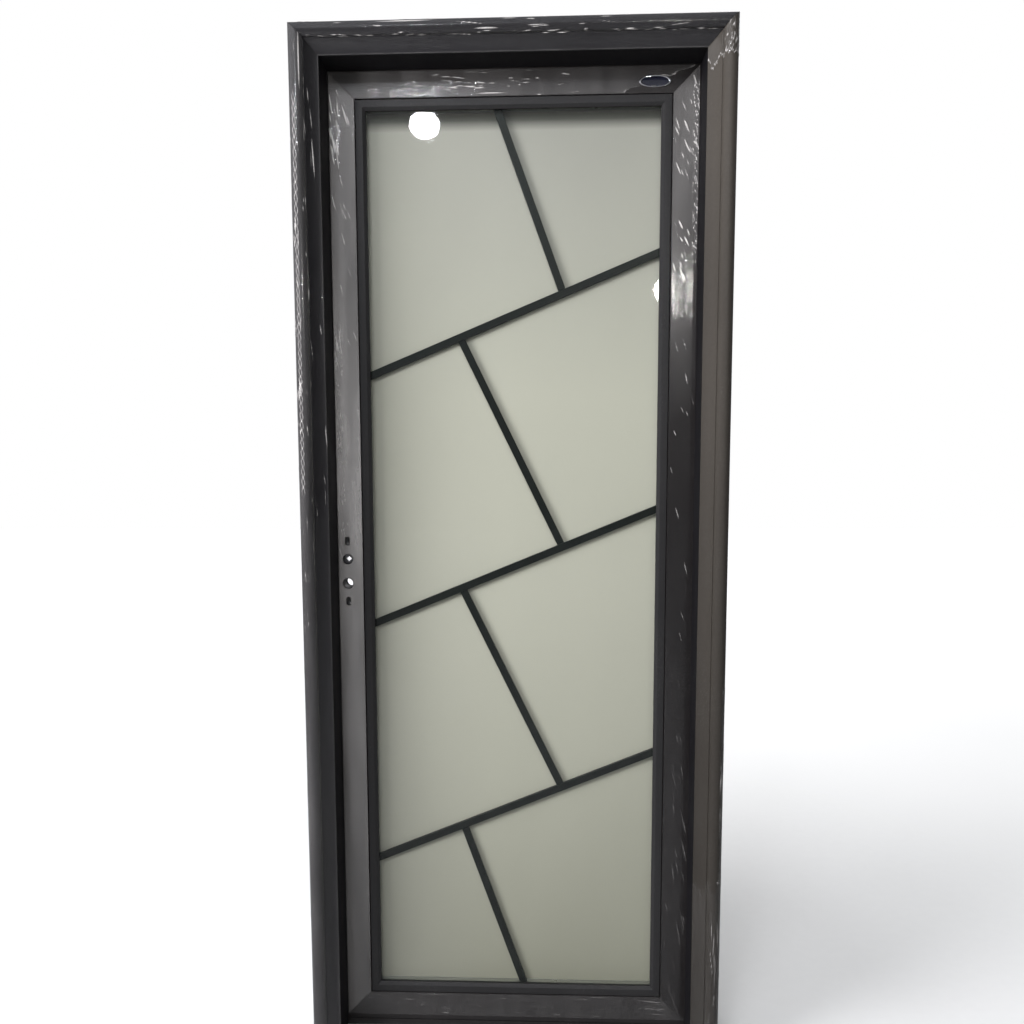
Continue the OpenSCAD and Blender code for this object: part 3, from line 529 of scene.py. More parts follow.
def rounded(outline, radii, steps):
    """Outline whose corners are arcs: at a corner with radius r the arc starts and ends at
    r / tan(half the angle) from it, and its centre lies on the bisector at r / sin(half)."""
    points = np.asarray(outline, float)
    radii = np.broadcast_to(np.asarray(radii, float), len(points))
    out = []
    for k, (p, r) in enumerate(zip(points, radii)):
        a, b = points[k - 1] - p, points[(k + 1) % len(points)] - p
        a_len, b_len = np.hypot(*a), np.hypot(*b)
        a, b = a / a_len, b / b_len
        half = math.acos(np.clip(a @ b, -1, 1)) / 2
        if r <= 0 or half > math.radians(88) or half < math.radians(5):
            out.append(p)
            continue
        back = min(r / math.tan(half), 0.45 * a_len, 0.45 * b_len)
        r = back * math.tan(half)
        centre = p + (a + b) / np.hypot(*(a + b)) * r / math.sin(half)
        start, end = p + a * back - centre, p + b * back - centre
        turn = math.atan2(start[0] * end[1] - start[1] * end[0], start @ end)
        t = turn * np.arange(steps + 1) / steps
        c, s = np.cos(t), np.sin(t)
        out.extend(centre + np.stack([start[0] * c - start[1] * s, start[0] * s + start[1] * c], 1))
    return np.array(out)


def along_side(ring, side, u, v, t):
    """Points of a bar on one side of a ring. u runs outwards from the opening, v in depth and t from
    0 to 1 along the bar, whose ends are cut at 45 degrees: an upright runs from foot - u to top + u,
    or from the floor, and a cross bar from -(half + u) to half + u."""
    half, foot, top, depth, sign = ring
    u, v, t = np.broadcast_arrays(u, v, t)
    y = depth + sign * v
    if side in ("left", "right"):
        low = np.zeros_like(u) if foot is None else foot - u
        z = low + (top + u - low) * t
        x = (half + u) * (1 if side == "right" else -1)
    else:
        x = (half + u) * (2 * t - 1)
        z = top + u if side == "top" else foot - u
    return np.stack([x, y, z], -1)


def mitred_bar(name, ring, side, outline, material, stations=24):
    """Solid bar: a closed outline in (u, v) carried along one side of a ring."""
    outline = np.asarray(outline, float)
    t = np.linspace(0, 1, stations)[:, None]
    points = along_side(ring, side, outline[:, 0][None], outline[:, 1][None], t)
    count = len(outline)
    faces = grid_faces(stations, count, wrap=True).tolist()
    faces.append(list(range(count)))
    faces.append(list(range((stations - 1) * count, stations * count)))
    return new_object(name, points.reshape(-1, 3), faces, [material])


def clean_copy(node, name, material, bevel, flat=True):
    """Copy of a CAD node, its points merged and small bevels on its sharp edges; flat also joins the
    triangles of its flat faces."""
    sharp = math.radians(30)
    mesh = NODES[node].data.copy()
    mesh.name = name
    work = bmesh.new()
    work.from_mesh(mesh)
    bmesh.ops.remove_doubles(work, verts=work.verts, dist=1e-6)
    if flat:
        level = math.radians(0.5)
        bmesh.ops.dissolve_limit(work, angle_limit=level, verts=work.verts, edges=work.edges)
    work.to_mesh(mesh)
    work.free()
    mesh.materials.clear()
    mesh.materials.append(MATERIALS[material])
    mesh.shade_smooth()
    mesh.set_sharp_from_angle(angle=sharp)
    obj = linked(name, mesh)
    add = obj.modifiers.new("Edges", "BEVEL")
    add.width = bevel
    add.segments = 2
    add.limit_method = "ANGLE"
    add.angle_limit = sharp
    add.harden_normals = True
    return obj


def dress(nodes, material):
    """Gives CAD nodes that stay as they are a better material."""
    for node in nodes:
        part = NODES[node]
        if not part.material_slots:
            part.data.materials.append(None)
        for slot in part.material_slots:
            slot.link = "OBJECT"
            slot.material = MATERIALS[material]


# ---- Profiles ----


def arc(centre, radius, start, end, steps):
    """Points of an arc, angles in degrees."""
    a = np.radians(np.linspace(start, end, steps + 1))
    return np.stack([centre[0] + radius * np.cos(a), centre[1] + radius * np.sin(a)], 1)


def trim_outline(wide, rise, cove_w, cove_top, nose, brow, lip_h=3.2, sag=2.0):
    """Outer face of a trim, from its outer edge to the lip: side, nose and brow arcs, a quirk, and
    a cove that lies under its chord by sag * 4 t (1 - t). All in millimetres."""
    apex = wide - nose
    end = math.degrees(math.acos((cove_w + 1.8 - apex) / brow))
    t = np.linspace(1, 0, 21)[:, None]
    chord = np.array([cove_w, cove_top - lip_h])
    normal = np.array([chord[1], -chord[0]]) / np.hypot(*chord)
    cove = np.array([0, lip_h]) + t * chord + sag * 4 * t * (1 - t) * normal
    quirk = [[cove_w + 1.5, cove_top - 0.2], [cove_w + 0.9, cove_top - 0.5], [cove_w + 0.3, cove_top - 0.3]]
    lip = rounded([[4, 6], [0, lip_h], [0, 0]], [0, 0.9, 0], 4)[1:-1]
    face = [
        [[wide, 0.4]],
        arc([apex, rise - nose], nose, 0, 90, 24),
        arc([apex, rise - brow], brow, 90, end, 14)[1:],
        quirk,
        cove[:-1],
        lip,
    ]
    return np.concatenate([np.asarray(f, float) for f in face])


FRONT_FACE = trim_outline(wide=53, rise=30, cove_w=23.5, cove_top=20, nose=14, brow=16)
BACK_FACE = trim_outline(wide=32, rise=24, cove_w=9.5, cove_top=16.5, nose=11, brow=13)


def closed_trim(face, shift=0.0):
    """A trim's face closed by its flat base, moved outwards by shift millimetres, in metres."""
    ease = 0.3
    return (np.concatenate([[[ease, 0.0], [face[0, 0] - ease, 0.0]], face]) + [shift, 0]) * MM


def stile_outline(edge, seat=21, deep=40, flange=2.5):
    """Stile or rail: a block beside the bead's seat with a rounded front outer edge, and a thin rear
    flange behind the seat. All in millimetres."""
    wide, shelf = STILE_WIDE, deep - flange
    points = [[seat, 0], [wide, 0], [wide, deep], [0, deep], [0, shelf], [seat, shelf]]
    return rounded(points, [edge, 3, edge, edge, edge, 0], 6) * MM


def bead_outline(edge):
    """Glazing bead: flat face, slope down to the glass, foot on the gasket, leg and barb."""
    points = [
        [19.8, 0.8], [6, 0.8], [0, 5.2], [0, 7.4], [6.5, 7.4], [6.5, 5.7], [2.6, 5.7],
        [6.6, 2.5], [18.1, 2.5], [18.1, 8.8], [22.2, 8.8], [22.2, 7], [19.8, 7],
    ]
    radii = [edge, edge, edge, 0.3, 0, 0, 0, 0, 0, 0, 0.2, 0.2, 0]
    return rounded(points, radii, 4) * MM


# ---- Pieces ----


class DoorOperator(bpy.types.Operator):
    """What the door's operators share"""

    bl_options = {"REGISTER", "UNDO"}

    def execute(self, context):
        self.build()
        return {"FINISHED"}


class DOOR_OT_trims(DoorOperator):
    """Builds the moulded trims on both faces of the frame"""

    bl_idname = "door.trims"
    bl_label = "Trims"

    def build(self):
        front, back = closed_trim(FRONT_FACE), closed_trim(BACK_FACE, 21.0)
        for side, node in (("left", "left"), ("right", "right"), ("top", "head")):
            # The bare right trim takes the lighter paint, with painted light and painted shade in it.
            finish = "Bare trim paint with painted light" if side == "right" else "Frame paint"
            bar = mitred_bar(f"front_moulding_{node}", FRONT_RING, side, front, finish, 30)
            finish_piece(bar, "frame", "frame_paint", f"front_trim_{node}")
            bar = mitred_bar(f"back_moulding_{node}", BACK_RING, side, back, "Frame paint", 30)
            finish_piece(bar, "frame", "frame_paint", f"back_trim_{node}")


class DOOR_OT_frame(DoorOperator):
    """Finishes the jambs, the head, their seals and the strike"""

    bl_idname = "door.frame"
    bl_label = "Frame"

    def build(self):
        # The jambs and head take the darker paint: painted shade for the recessed reveals.
        dress(["jamb_left", "jamb_left_strike", "jamb_right", "head"], "Jamb paint with painted shade")
        dress(["frame_corner_keys", "trim_corner_plates"], "Mill aluminium")
        dress(["stop_seal_left", "stop_seal_right", "stop_seal_head"], "Rubber")
        dress(["strike_box"], "Black plastic")
        dress(["strike_magnet", "strike_screws"], "Zinc plated steel")
        plate = clean_copy("strike_plate", "strike_cover", "Zinc plated steel", 0.0003, flat=False)
        finish_piece(plate, "frame", "steel", "strike_plate")


class DOOR_OT_leaf(DoorOperator):
    """Builds the rails and finishes the stiles, their keys and the bottom seal"""

    bl_idname = "door.leaf"
    bl_label = "Leaf"

    def build(self):
        outline = stile_outline(1000 * sizes().edge)
        for side, node in (("top", "top_rail"), ("bottom", "bottom_rail")):
            bar = mitred_bar(f"{side}_cross_bar", LEAF_RING, side, outline, "Leaf paint")
            finish_piece(bar, "leaf", "leaf_paint", node)
        dress(["stile_lock_side", "stile_hinge_side", "seal_carrier"], "Leaf paint")
        dress(["leaf_corner_keys"], "Mill aluminium")
        dress(["bottom_seal"], "Rubber")


class DOOR_OT_beads(DoorOperator):
    """Builds the glazing beads round the daylight"""

    bl_idname = "door.beads"
    bl_label = "Glazing beads"

    def build(self):
        outline = bead_outline(1000 * sizes().edge)
        for side in ("left", "right", "top", "bottom"):
            bar = mitred_bar(f"glazing_bead_{side}", LEAF_RING, side, outline, "Bead paint")
            finish_piece(bar, "leaf", "leaf_paint", f"bead_{side}")


class DOOR_OT_glazing(DoorOperator):
    """Finishes the panes, their gaskets, spacer, sealant and blocks"""

    bl_idname = "door.glazing"
    bl_label = "Glazing"

    def build(self):
        dress(["front_pane"], "Clear glass")
        dress(["frosted_pane"], "Frosted glass")
        dress(["front_gasket", "back_gasket", "edge_sealant"], "Rubber")
        dress(["spacer_frame"], "Mill aluminium")
        dress(["setting_blocks"], "Black plastic")


class DOOR_OT_bars(DoorOperator):
    """Builds the bevelled bars between the panes"""

    bl_idname = "door.bars"
    bl_label = "Bars"

    def build(self):
        names = [f"long_bar_{p}" for p in ("top", "middle", "bottom")]
        names += [f"short_bar_{k}" for k in range(1, 5)]
        for node in names:
            bar = clean_copy(node, f"bevelled_{node}", "Bar paint", sizes().bar_bevel)
            finish_piece(bar, "leaf", "bar_paint", node)


class DOOR_OT_lock(DoorOperator):
    """Finishes the lock"""

    bl_idname = "door.lock"
    bl_label = "Lock"

    def build(self):
        parts = ["lock_case", "lock_front", "lock_front_screws", "latch_bolt", "dead_bolt", "follower"]
        dress(parts, "Zinc plated steel")


class DOOR_OT_hinges(DoorOperator):
    """Finishes the hinges"""

    bl_idname = "door.hinges"
    bl_label = "Hinges"

    def build(self):
        flags = [n for n in NODES if "_flag_" in n]
        dress(flags, "Hinge paint")
        dress(["hinge_pins", "hinge_frame_screws", "hinge_leaf_screws"], "Zinc plated steel")


class DOOR_OT_badge(DoorOperator):
    """Builds the blank oval badge"""

    bl_idname = "door.badge"
    bl_label = "Badge"

    def build(self):
        """At t from near 0 at the centre to 1 at the foot of the rim, the outline is an ellipse scaled
        by t; the height is a low dome, then a rounded rim, 2 mm wide."""
        low, high = corners("badge")
        centre, half = (low + high) / 2, (high - low) / 2
        around = 128
        rim = 2.0 * MM
        rim_foot = 1.1 * MM
        dome = sizes().badge_dome
        top = 2 * half[1]
        inner = 1 - rim / half[2]
        t_face = np.linspace(0.04, inner, 16)
        face_h = dome - 0.5 * MM * (t_face / inner) ** 3
        a = np.radians(np.linspace(160, 0, 12))
        t_rim = inner + (1 - inner) * (1 + np.cos(a)) / 2
        rim_h = rim_foot + (top - rim_foot) * np.sin(a)
        t = np.concatenate([t_face, t_rim, [1.0]])
        h = np.concatenate([face_h, rim_h, [0.0]])
        angle = np.linspace(0, 2 * math.pi, around, endpoint=False)[None]
        x = centre[0] + (half[0] * t)[:, None] * np.cos(angle)
        z = centre[2] + (half[2] * t)[:, None] * np.sin(angle)
        y = high[1] - h[:, None] + 0 * x
        points = np.stack([x, y, z], -1).reshape(-1, 3)
        faces = grid_faces(len(t), around, wrap=True).tolist()
        faces.append(list(range(around)))
        faces.append(list(range((len(t) - 1) * around, len(t) * around)))
        badge = new_object("oval_badge", points, faces, ["Badge enamel", "Bright rim"], 40.0)
        on_rim = np.zeros(len(faces), int)
        on_rim[(len(t_face) - 1) * around : (len(t) - 1) * around] = 1
        badge.data.polygons.foreach_set("material_index", on_rim)
        finish_piece(badge, "leaf", "badge_face", "badge")


# ---- Protective film ----


def scatter(rng, count, along, across, size, width, tilt):
    """Random ridges, one row each: place along and across, half length, half width, turn, height."""
    columns = (
        rng.uniform(*along, count),
        across[0] + (across[1] - across[0]) * rng.beta(1.2, 1.2, count),
        rng.uniform(*size, count),
        rng.uniform(*width, count),
        np.radians(rng.normal(*tilt, count)),
        rng.uniform(0.45, 1.0, count),
    )
    return np.stack(columns, 1)


def relief(s, t, *ridges):
    """Height over a strip, s along and t across in metres: the greatest of lens-shaped ridges
    (1 - (p / a)^2) exp(-(q / b)^2), with p along the ridge, q across it, and b narrowed by the lens."""
    total = np.zeros(np.broadcast(s, t).shape)
    for s0, t0, a, b, turn, height in np.concatenate(ridges):
        near = np.abs(s[:, 0] - s0) < a * 1.05
        if not near.any():
            continue
        ds, dt = s[near] - s0, t - t0
        p = ds * math.cos(turn) + dt * math.sin(turn)
        q = -ds * math.sin(turn) + dt * math.cos(turn)
        lens = np.clip(1 - (p / a) ** 2, 0, 1)
        ridge = height * lens * np.exp(-((q / (b * np.sqrt(lens + 0.05))) ** 2))
        total[near] = np.maximum(total[near], ridge)
    return total


def fringe(gap, reach, rng, low=0.3):
    """Crumpled edge beside a tear: exp(-(gap / reach)^2) with random folds, low the flattest."""
    return np.exp(-((gap / reach) ** 2)) * rng.uniform(low, 1.0, gap.shape)


def film_sheet(name, ring, side, path, normals, steps, crease, haze_and_sheen, body, keep=None):
    """Sheet of film that lies over a profile: its path in (u, v) carried along a side of a ring,
    lifted along the profile's normal by a thin gap plus the crease height. The sheet is closed by
    a second skin just under it. Cells outside keep are left out, which gives a torn edge."""
    rows, columns = crease.shape
    lift = FILM_GAP + crease * sizes().crease
    u, v = (path[:, k] + normals[:, k] * lift for k in (0, 1))
    tops = along_side(ring, side, u, v, steps[:, None])
    mesh = bpy.data.meshes.new(name)
    quads = grid_faces(rows, columns)
    if keep is not None:
        quads = quads[(keep[:-1, :-1] & keep[1:, :-1] & keep[:-1, 1:] & keep[1:, 1:]).ravel()]
    used = np.unique(quads)
    index = np.zeros(rows * columns, int)
    index[used] = np.arange(len(used))
    points = tops.reshape(-1, 3)[used]
    mesh.from_pydata(points.tolist(), [], index[quads].tolist())
    mesh.update()
    for label, values in (("crease", crease), ("haze_and_sheen", haze_and_sheen)):
        values = np.broadcast_to(values, crease.shape)
        mark = mesh.attributes.new(label, "FLOAT", "POINT")
        mark.data.foreach_set("value", values.ravel()[used].astype(np.float32))
    mesh.materials.append(MATERIALS["Protective film"])
    mesh.shade_smooth()
    if mesh.polygons[0].normal.y > 0:
        mesh.flip_normals()
    obj = linked(name, mesh)
    skin = obj.modifiers.new("Skin", "SOLIDIFY")
    skin.thickness = FILM_SKIN
    skin.offset = -1
    finish_piece(obj, body, None)


def resample(points, step):
    """Points at even steps along a polyline, unit normals to its right, and the way gone at each."""
    points = np.asarray(points, float)
    gone = np.concatenate([[0], np.cumsum(np.hypot(*np.diff(points, axis=0).T))])
    count = max(3, int(round(gone[-1] / step)) + 1)
    at = np.linspace(0, gone[-1], count)
    path = np.stack([np.interp(at, gone, points[:, k]) for k in (0, 1)], 1)
    way = np.gradient(path, axis=0)
    way /= np.hypot(*way.T)[:, None]
    return path, np.stack([way[:, 1], -way[:, 0]], 1), at


def crease_share_and_shade(s):
    """Share of a crease's height at s metres up an upright: the creases stand lower and show less white low
    on the door, a painted shade for the light that falls off towards the foot.
    """
    return np.clip(0.35 + 0.65 * (s - 0.7) / 0.8, 0.35, 1.0)


class DOOR_OT_film(DoorOperator):
    """Lays the wrinkled protective film over the profiles, with its torn edges"""

    bl_idname = "door.film"
    bl_label = "Protective film"

    def clear_of_lock(self, ring, side, path, steps):
        """True where the film is clear of the lock's holes: each is a circle of radius r whose centre
        is drawn out by reach up and down, so a point's distance is from that short line."""
        at = along_side(ring, side, path[:, 0], path[:, 1], steps)
        clear = np.ones(at.shape[:2], bool)
        for up, reach, r in ((25, 0, 10.2), (-25, 0, 10.7), (62.5, 4, 4.6), (-62.5, 4, 4.6)):
            x = at[..., 0] - LOCK_X
            z = np.abs(at[..., 2] - LOCK_Z - up * MM) - reach * MM
            clear &= np.hypot(x, np.maximum(z, 0)) > r * MM
        return clear

    def build(self):
        rng = np.random.default_rng(sizes().seed)
        for side in ("left", "right", "top", "bottom"):
            self.leaf_film(side, rng)
        for side in ("left", "right", "top"):
            self.trim_film(side, rng)

    def leaf_film(self, side, rng):
        """Flat sheet on a stile or rail, t metres inwards from near its outer edge and s along it."""
        path, _, across = resample(np.array([[72.0, 0.0], [22.0, 0.0]]) * MM, FILM_STEP)
        normals = np.broadcast_to([0.0, -1.0], path.shape)
        length = 1.97 if side in ("left", "right") else 0.72
        steps = np.linspace(0.0, 1.0, int(length / FILM_ROW))
        if side == "left":
            # Finer rows beside the lock, so that the film's holes there are round
            near = (LOCK_Z - PANE_FOOT) / (PANE_TOP - PANE_FOOT) + np.linspace(-0.045, 0.045, 210)
            below, above = steps < near[0] - 0.001, steps > near[-1] + 0.001
            steps = np.concatenate([steps[below], near, steps[above]])
        steps = steps[:, None]
        s, t = steps * length, across[None]
        whole, wide = (0, length), (0, across[-1])
        keep = None
        if side == "left":
            crease = relief(
                s, t,
                # All over, then the top, the middle by its outer edge, the top corner and the lock
                scatter(rng, 110, whole, wide, (0.006, 0.024), (0.0005, 0.0012), (-17, 5)),
                scatter(rng, 16, (1.78, 1.93), (0.002, 0.018), (0.012, 0.03), (0.001, 0.002), (-9, 4)),
                scatter(rng, 70, (1.02, 1.48), (0.001, 0.016), (0.012, 0.040), (0.0006, 0.0012), (-5, 3)),
                scatter(rng, 5, (1.90, 1.94), (0.030, 0.046), (0.008, 0.016), (0.001, 0.002), (-30, 6)),
                scatter(rng, 20, (0.90, 1.12), wide, (0.004, 0.012), THIN, (-12, 9)),
            )
            crease *= crease_share_and_shade(s)
            # Hazy all along, more upwards and most in a band near 1.25 m up: partly the film's own, partly
            # painted sheen on the bright stile.
            haze_and_sheen = 0.06 + 0.05 * np.clip(s / 0.6, 0, 1) + 0.22 * np.exp(-(((s - 1.25) / 0.3) ** 2))
            keep = self.clear_of_lock(LEAF_RING, side, path, steps)
        elif side == "right":
            crease = relief(
                s, t,
                # All over, then the upper part, its outer edge and the lower part
                scatter(rng, 34, whole, wide, (0.008, 0.02), THIN, (15, 3)),
                scatter(rng, 36, (1.50, 1.93), (0.012, 0.046), (0.010, 0.024), (0.0007, 0.0014), (16, 2.5)),
                scatter(rng, 150, (1.60, 1.95), (0, 0.011), (0.004, 0.014), (0.0003, 0.0006), (12, 5)),
                scatter(rng, 40, (0.0, 0.75), (0.002, 0.036), (0.015, 0.04), (0.0006, 0.0011), (13, 3)),
            )
            crease *= crease_share_and_shade(s)
            # Hazy only high up: painted sheen.
            haze_and_sheen = 0.06 * np.clip((s - 1.3) / 0.5, 0, 1)
        elif side == "top":
            middle = length / 2
            shine = (middle - 0.14, middle + 0.03)
            crease = relief(
                s, t,
                scatter(rng, 26, whole, wide, (0.006, 0.02), THIN, (3, 5)),
                scatter(rng, 24, shine, (0.017, 0.034), (0.004, 0.014), THIN, (0, 3)),
                [[middle - 0.048, 0.0445, 0.05, 0.0008, 0, 1.0]],
            )
            # The film is torn off slantwise at the right-hand end
            tear = 0.99 - 2.85 * t + 0.010 * np.sin(90 * t) + 0.007 * np.sin(410 * t)
            keep = steps < tear
            crease = np.maximum(crease, 0.7 * fringe(steps - tear, 0.009, rng))
            # Hazier towards the rail's left end: painted sheen.
            haze_and_sheen = 0.05 - 0.035 * steps
        else:
            ridges = scatter(rng, 40, whole, wide, (0.015, 0.05), THIN, (-3, 3))
            crease = 0.4 * relief(s, t, ridges)
            haze_and_sheen = 0.012
        name = f"film_leaf_{side}"
        film_sheet(name, LEAF_RING, side, path, normals, steps[:, 0], crease, haze_and_sheen, "leaf", keep)

    def trim_film(self, side, rng):
        """Sheet over a trim's whole moulded face, t metres over it from the lip and s along it."""
        path, right, across = resample(FRONT_FACE[::-1] * MM, FILM_STEP)
        length = 2.0 if side != "top" else 0.78
        steps = np.linspace(0.0, 1.0, int(length / FILM_ROW))[:, None]
        s, t = steps * length, across[None]
        u = path[:, 0][None]
        # The way gone over the profile, by its distance from the opening in millimetres
        at = {k: float(np.interp(k * MM, path[:, 0], across)) for k in (15, 24, 28, 31, 42, 46, 50)}
        whole, nose = (0, length), (at[28], across[-1])
        crumbs = scatter(rng, 70, whole, nose, (0.008, 0.03), (0.0004, 0.0009), (0, 4))
        keep = None
        if side == "left":
            crease = relief(
                s, t,
                crumbs,
                scatter(rng, 40, whole, (at[24], at[28]), (0.005, 0.02), (0.0004, 0.0008), (0, 3)),
                # Two long white ridges on the nose and the cove: painted highlights of lamps.
                [[1.955, at[31], 0.07, 0.001, 0.0, 1.0], [1.80, at[15] - 0.003, 0.04, 0.0011, 0.06, 1.0]],
                scatter(rng, 10, (1.0, 2.0), (0, at[24]), (0.01, 0.03), THIN, (3, 4)),
            )
            crease *= crease_share_and_shade(s)
            # Two strands that cross each other again and again, from 1.13 to 1.9 m up
            window = np.clip((s - 1.13) / 0.03, 0, 1) * np.clip((1.9 - s) / 0.03, 0, 1)
            for phase in (0.0, math.pi):
                strand = at[42] + 0.0030 * np.sin(2 * math.pi * s / 0.036 + phase + 2 * np.sin(9 * s))
                crease = np.maximum(crease, 0.5 * window * np.exp(-(((t - strand) / 0.0009) ** 2)))
        elif side == "top":
            middle = length / 2
            crease = relief(
                s, t,
                crumbs[:30],
                scatter(rng, 60, whole, (at[24], at[28]), (0.003, 0.012), (0.0004, 0.0009), (0, 3)),
                # Three long white ridges on the nose and the brow: painted highlights of lamps.
                [
                    [middle - 0.19, at[46], 0.055, 0.0010, 0, 1.0],
                    [middle - 0.045, at[31], 0.028, 0.0009, 0, 1.0],
                    [middle + 0.34, at[50], 0.030, 0.0010, 0, 1.0],
                ],
            )
        else:
            # Film is left over the door's foot, in a strip at the outer edge, and over the top mitre
            ridges = scatter(rng, 40, (0, 0.8), nose, (0.02, 0.06), THIN, (0, 3))
            crease = relief(s, t, crumbs, ridges)
            dip = np.exp(-(((u - 0.009) / 0.006) ** 2))
            high = 0.987 - 0.45 * u - 0.009 * dip + 0.0015 * np.sin(700 * u) + 0.001 * np.sin(1900 * u)
            low = 0.184 + 0.1 * u + 0.006 * np.sin(300 * u) + 0.003 * np.sin(1500 * u)
            strip = (u > 0.044) & (steps < 0.385)
            keep = (steps > high) | (steps < low) | strip
            folds = scatter(rng, 60, (1.94, 2.0), nose, (0.004, 0.012), THIN, (35, 30))
            crease = np.maximum(crease, 0.8 * relief(s, t, folds))
            crease = np.maximum(crease, fringe(steps - high, 0.0024, rng, 0.6))
            crease = np.maximum(crease, 0.8 * fringe(steps - low, 0.0025, rng))
            crease *= np.maximum(crease_share_and_shade(s), 0.6)
        # Faintly hazy all over; on the left and top trims white along the lip, a painted highlight of the
        # bright line there, and on the left trim a little more over the nose, painted sheen.
        haze_and_sheen = 0.003
        if side != "right":
            haze_and_sheen += 0.16 * np.exp(-((t / 0.0011) ** 2))
        if side == "left":
            haze_and_sheen = haze_and_sheen + 0.022 * (t > at[24])
        name = f"film_trim_{side}"
        film_sheet(name, FRONT_RING, side, path, -right, steps[:, 0], crease, haze_and_sheen, "frame", keep)


# ---- Stage ----


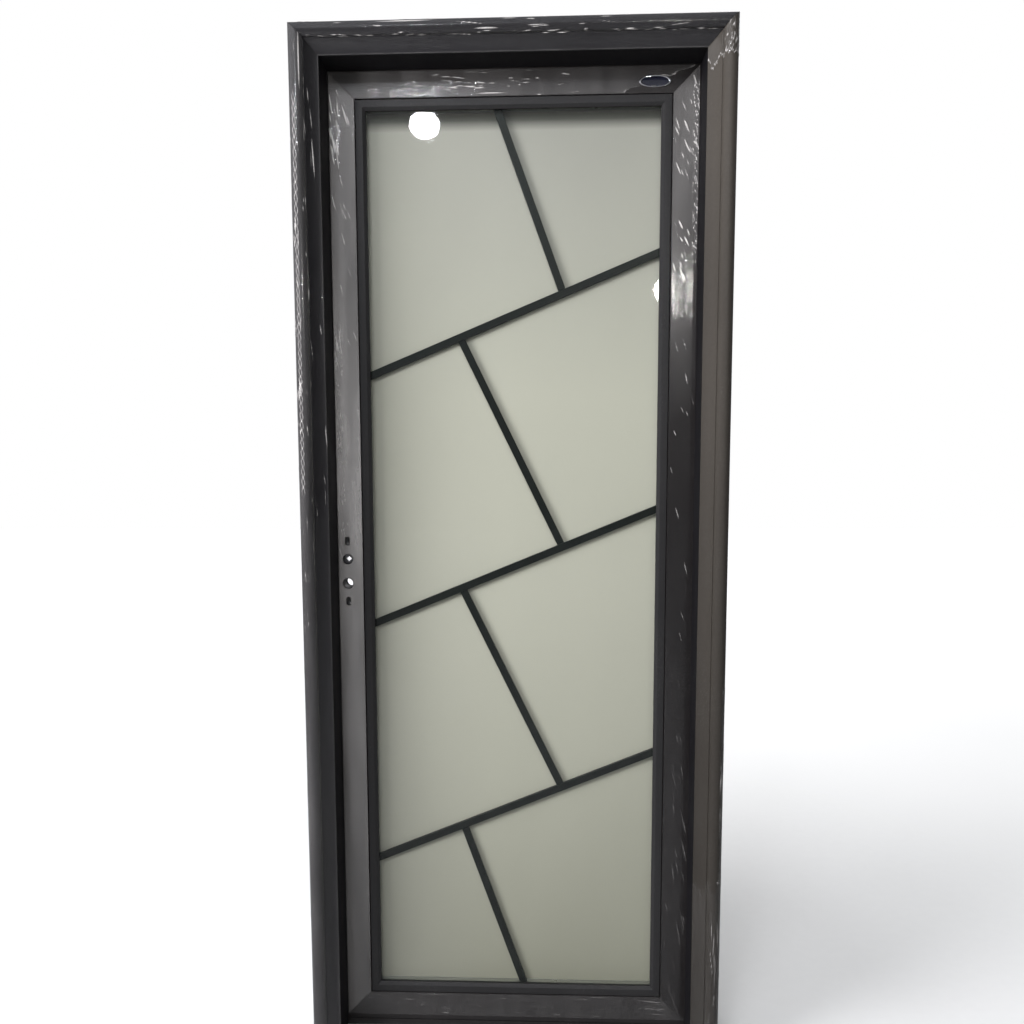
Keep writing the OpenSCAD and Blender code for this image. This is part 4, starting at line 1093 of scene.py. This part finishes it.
class DOOR_OT_stage(DoorOperator):
    """Builds the floor, the lights and the camera"""

    bl_idname = "door.stage"
    bl_label = "Stage"

    def build(self):
        w, shader, at = new_material("Pale floor")
        dull, light = (0.83, 0.83, 0.82, 1), (0.87, 0.87, 0.86, 1)
        drift = place(w, "Colour drift", Vector=at, Colour=dull, Second=light, Scale=0.6)
        seen = w.node("ShaderNodeLightPath").outputs["Is Camera Ray"]
        w.link(w.mix(seen, (0.3, 0.3, 0.3, 1), drift["Colour"]), shader.inputs["Base Color"])
        shader.inputs["Roughness"].default_value = 0.9
        away = w.node("ShaderNodeVectorMath", operation="LENGTH")
        w.link(at, away.inputs[0])
        glow = w.spread(away.outputs["Value"], 0.9, 5.0, 0.0, 0.75)
        shader.inputs["Emission Color"].default_value = (1, 1, 1, 1)
        w.link(w.math("MULTIPLY", glow, seen), shader.inputs["Emission Strength"])
        points = 12.0 * np.array([[-1, -1, 0], [1, -1, 0], [1, 1, 0], [-1, 1, 0]])
        floor = new_object("floor", points, [(0, 1, 2, 3)], ["Pale floor"])
        if floor.data.polygons[0].normal.z < 0:
            floor.data.flip_normals()

        self.room()
        # False keeps a light out of the mirror images
        self.area("key_left", (-2.5, -1.55, 1.9), (0, 0, 1.15), (1.5, 2.1), 122, (0.98, 0.97, 1.0), False)
        self.area("fill_right", (1.6, -2.7, 0.9), (0.1, 0.0, 0.7), (0.7, 1.2), 4, (1, 1, 0.95), False)
        self.area("top", (-0.6, -2.6, 3.4), (0, 0, 0.9), (1.2, 0.6), 42, (0.97, 0.97, 1.0), False)
        self.area("back", (0.6, 2.8, 2.6), (0, 0, 1.0), (2.0, 1.4), 45, (1, 1, 1))
        self.area("lamp_left", (-0.470, -2.30, 2.743), (-0.18, 0.02, 1.9), (0.14, 0.12), 5, (0.93, 0.95, 1.0))
        self.area("lamp_right", (0.648, -2.41, 2.01), (0.32, 0.02, 1.56), (0.09, 0.1), 5, (1.0, 0.98, 0.94))
        bpy.context.scene.view_settings.view_transform = "Standard"

        # The camera looks along +Y from eye, then is turned by yaw, pitch and roll
        camera = linked("camera", bpy.data.cameras.new("camera"))
        eye = Matrix.Translation((0.0479, -1.7203, 1.2447))
        yaw, pitch, roll = (math.radians(a) for a in (2.22, -5.53, 0.21))
        turn = Matrix.Rotation(yaw, 4, "Z") @ Matrix.Rotation(pitch, 4, "X") @ Matrix.Rotation(roll, 4, "Y")
        camera.matrix_world = eye @ turn @ Matrix.Rotation(math.radians(90), 4, "X")
        camera.data.sensor_width = 36.0
        camera.data.lens = 30.0
        camera.data.shift_x = 0.0076
        camera.data.shift_y = 0.0223
        camera.data.clip_start = 0.05
        bpy.context.scene.camera = camera

    def room(self):
        """Room seen as white but felt as light: even behind the door, and before it dim up to 3 degrees
        over the horizon and paler above, most at the left, as the panes mirror a dark room with a
        pale ceiling."""
        world = bpy.data.worlds.new("Pale room")
        world.use_nodes = True
        bpy.context.scene.world = world
        w = Wiring(world.node_tree)
        world.node_tree.nodes.clear()
        x, y, z = w.split(w.node("ShaderNodeTexCoord").outputs["Generated"])
        front = w.spread(w.math("MULTIPLY", y, -1.0), -0.25, 0.12)
        ceiling = w.spread(z, 0.05, 0.42, 0.07, 0.55)
        ceiling = w.math("MULTIPLY", ceiling, w.spread(x, -0.4, 0.6, 1.7, 0.15))
        strength = w.node("ShaderNodeMix", data_type="FLOAT")
        w.feed(strength.inputs["Factor"], front)
        w.feed(strength.inputs[2], 0.3)
        w.feed(strength.inputs[3], ceiling)
        seen = w.node("ShaderNodeBackground")
        seen.inputs[0].default_value = (1, 1, 1, 1)
        felt = w.node("ShaderNodeBackground")
        felt.inputs[0].default_value = (0.93, 0.95, 1.0, 1)
        w.link(strength.outputs[0], felt.inputs[1])
        by_camera = w.node("ShaderNodeLightPath").outputs["Is Camera Ray"]
        blend = w.blend(by_camera, felt, seen)
        w.link(blend.outputs[0], w.node("ShaderNodeOutputWorld").inputs[0])

    def area(self, name, place_at, aim, size, power, colour, mirrored=True):
        """Elliptic area light that faces a point, seen in mirror images or only felt as soft light."""
        light = bpy.data.lights.new(name, "AREA")
        light.shape = "ELLIPSE"
        light.size, light.size_y = size
        light.energy = power
        light.color = colour
        obj = linked(name, light)
        obj.visible_glossy = mirrored
        facing = Vector(np.array(aim) - np.array(place_at)).to_track_quat("-Z", "Y")
        obj.matrix_world = Matrix.Translation(place_at) @ facing.to_matrix().to_4x4()


class DOOR_PT_panel(bpy.types.Panel):
    """Sidebar panel with the door's settings and steps"""

    bl_label = "Glazed entrance door"
    bl_idname = "DOOR_PT_panel"
    bl_space_type = "VIEW_3D"
    bl_region_type = "UI"
    bl_category = "Door"

    def draw(self, context):
        for group in (context.scene.door_sizes, context.scene.door_colours):
            for name in group.bl_rna.properties.keys():
                if name not in ("rna_type", "name"):
                    self.layout.prop(group, name)
        for step in STEPS:
            self.layout.operator(step.bl_idname)


STEPS = (
    DOOR_OT_trims,
    DOOR_OT_frame,
    DOOR_OT_leaf,
    DOOR_OT_beads,
    DOOR_OT_glazing,
    DOOR_OT_bars,
    DOOR_OT_lock,
    DOOR_OT_hinges,
    DOOR_OT_badge,
    DOOR_OT_film,
    DOOR_OT_stage,
)
CLASSES = (DoorSizes, DoorColours) + STEPS + (DOOR_PT_panel,)


def register():
    for kind in CLASSES:
        bpy.utils.register_class(kind)
    bpy.types.Scene.door_sizes = PointerProperty(type=DoorSizes)
    bpy.types.Scene.door_colours = PointerProperty(type=DoorColours)


def unregister():
    del bpy.types.Scene.door_sizes
    del bpy.types.Scene.door_colours
    for kind in reversed(CLASSES):
        bpy.utils.unregister_class(kind)


def main():
    """Builds every piece in order."""
    register()
    build_groups()
    build_materials()
    for step in STEPS:
        group, name = step.bl_idname.split(".")
        getattr(getattr(bpy.ops, group), name)()


if __name__ == "__main__":
    main()
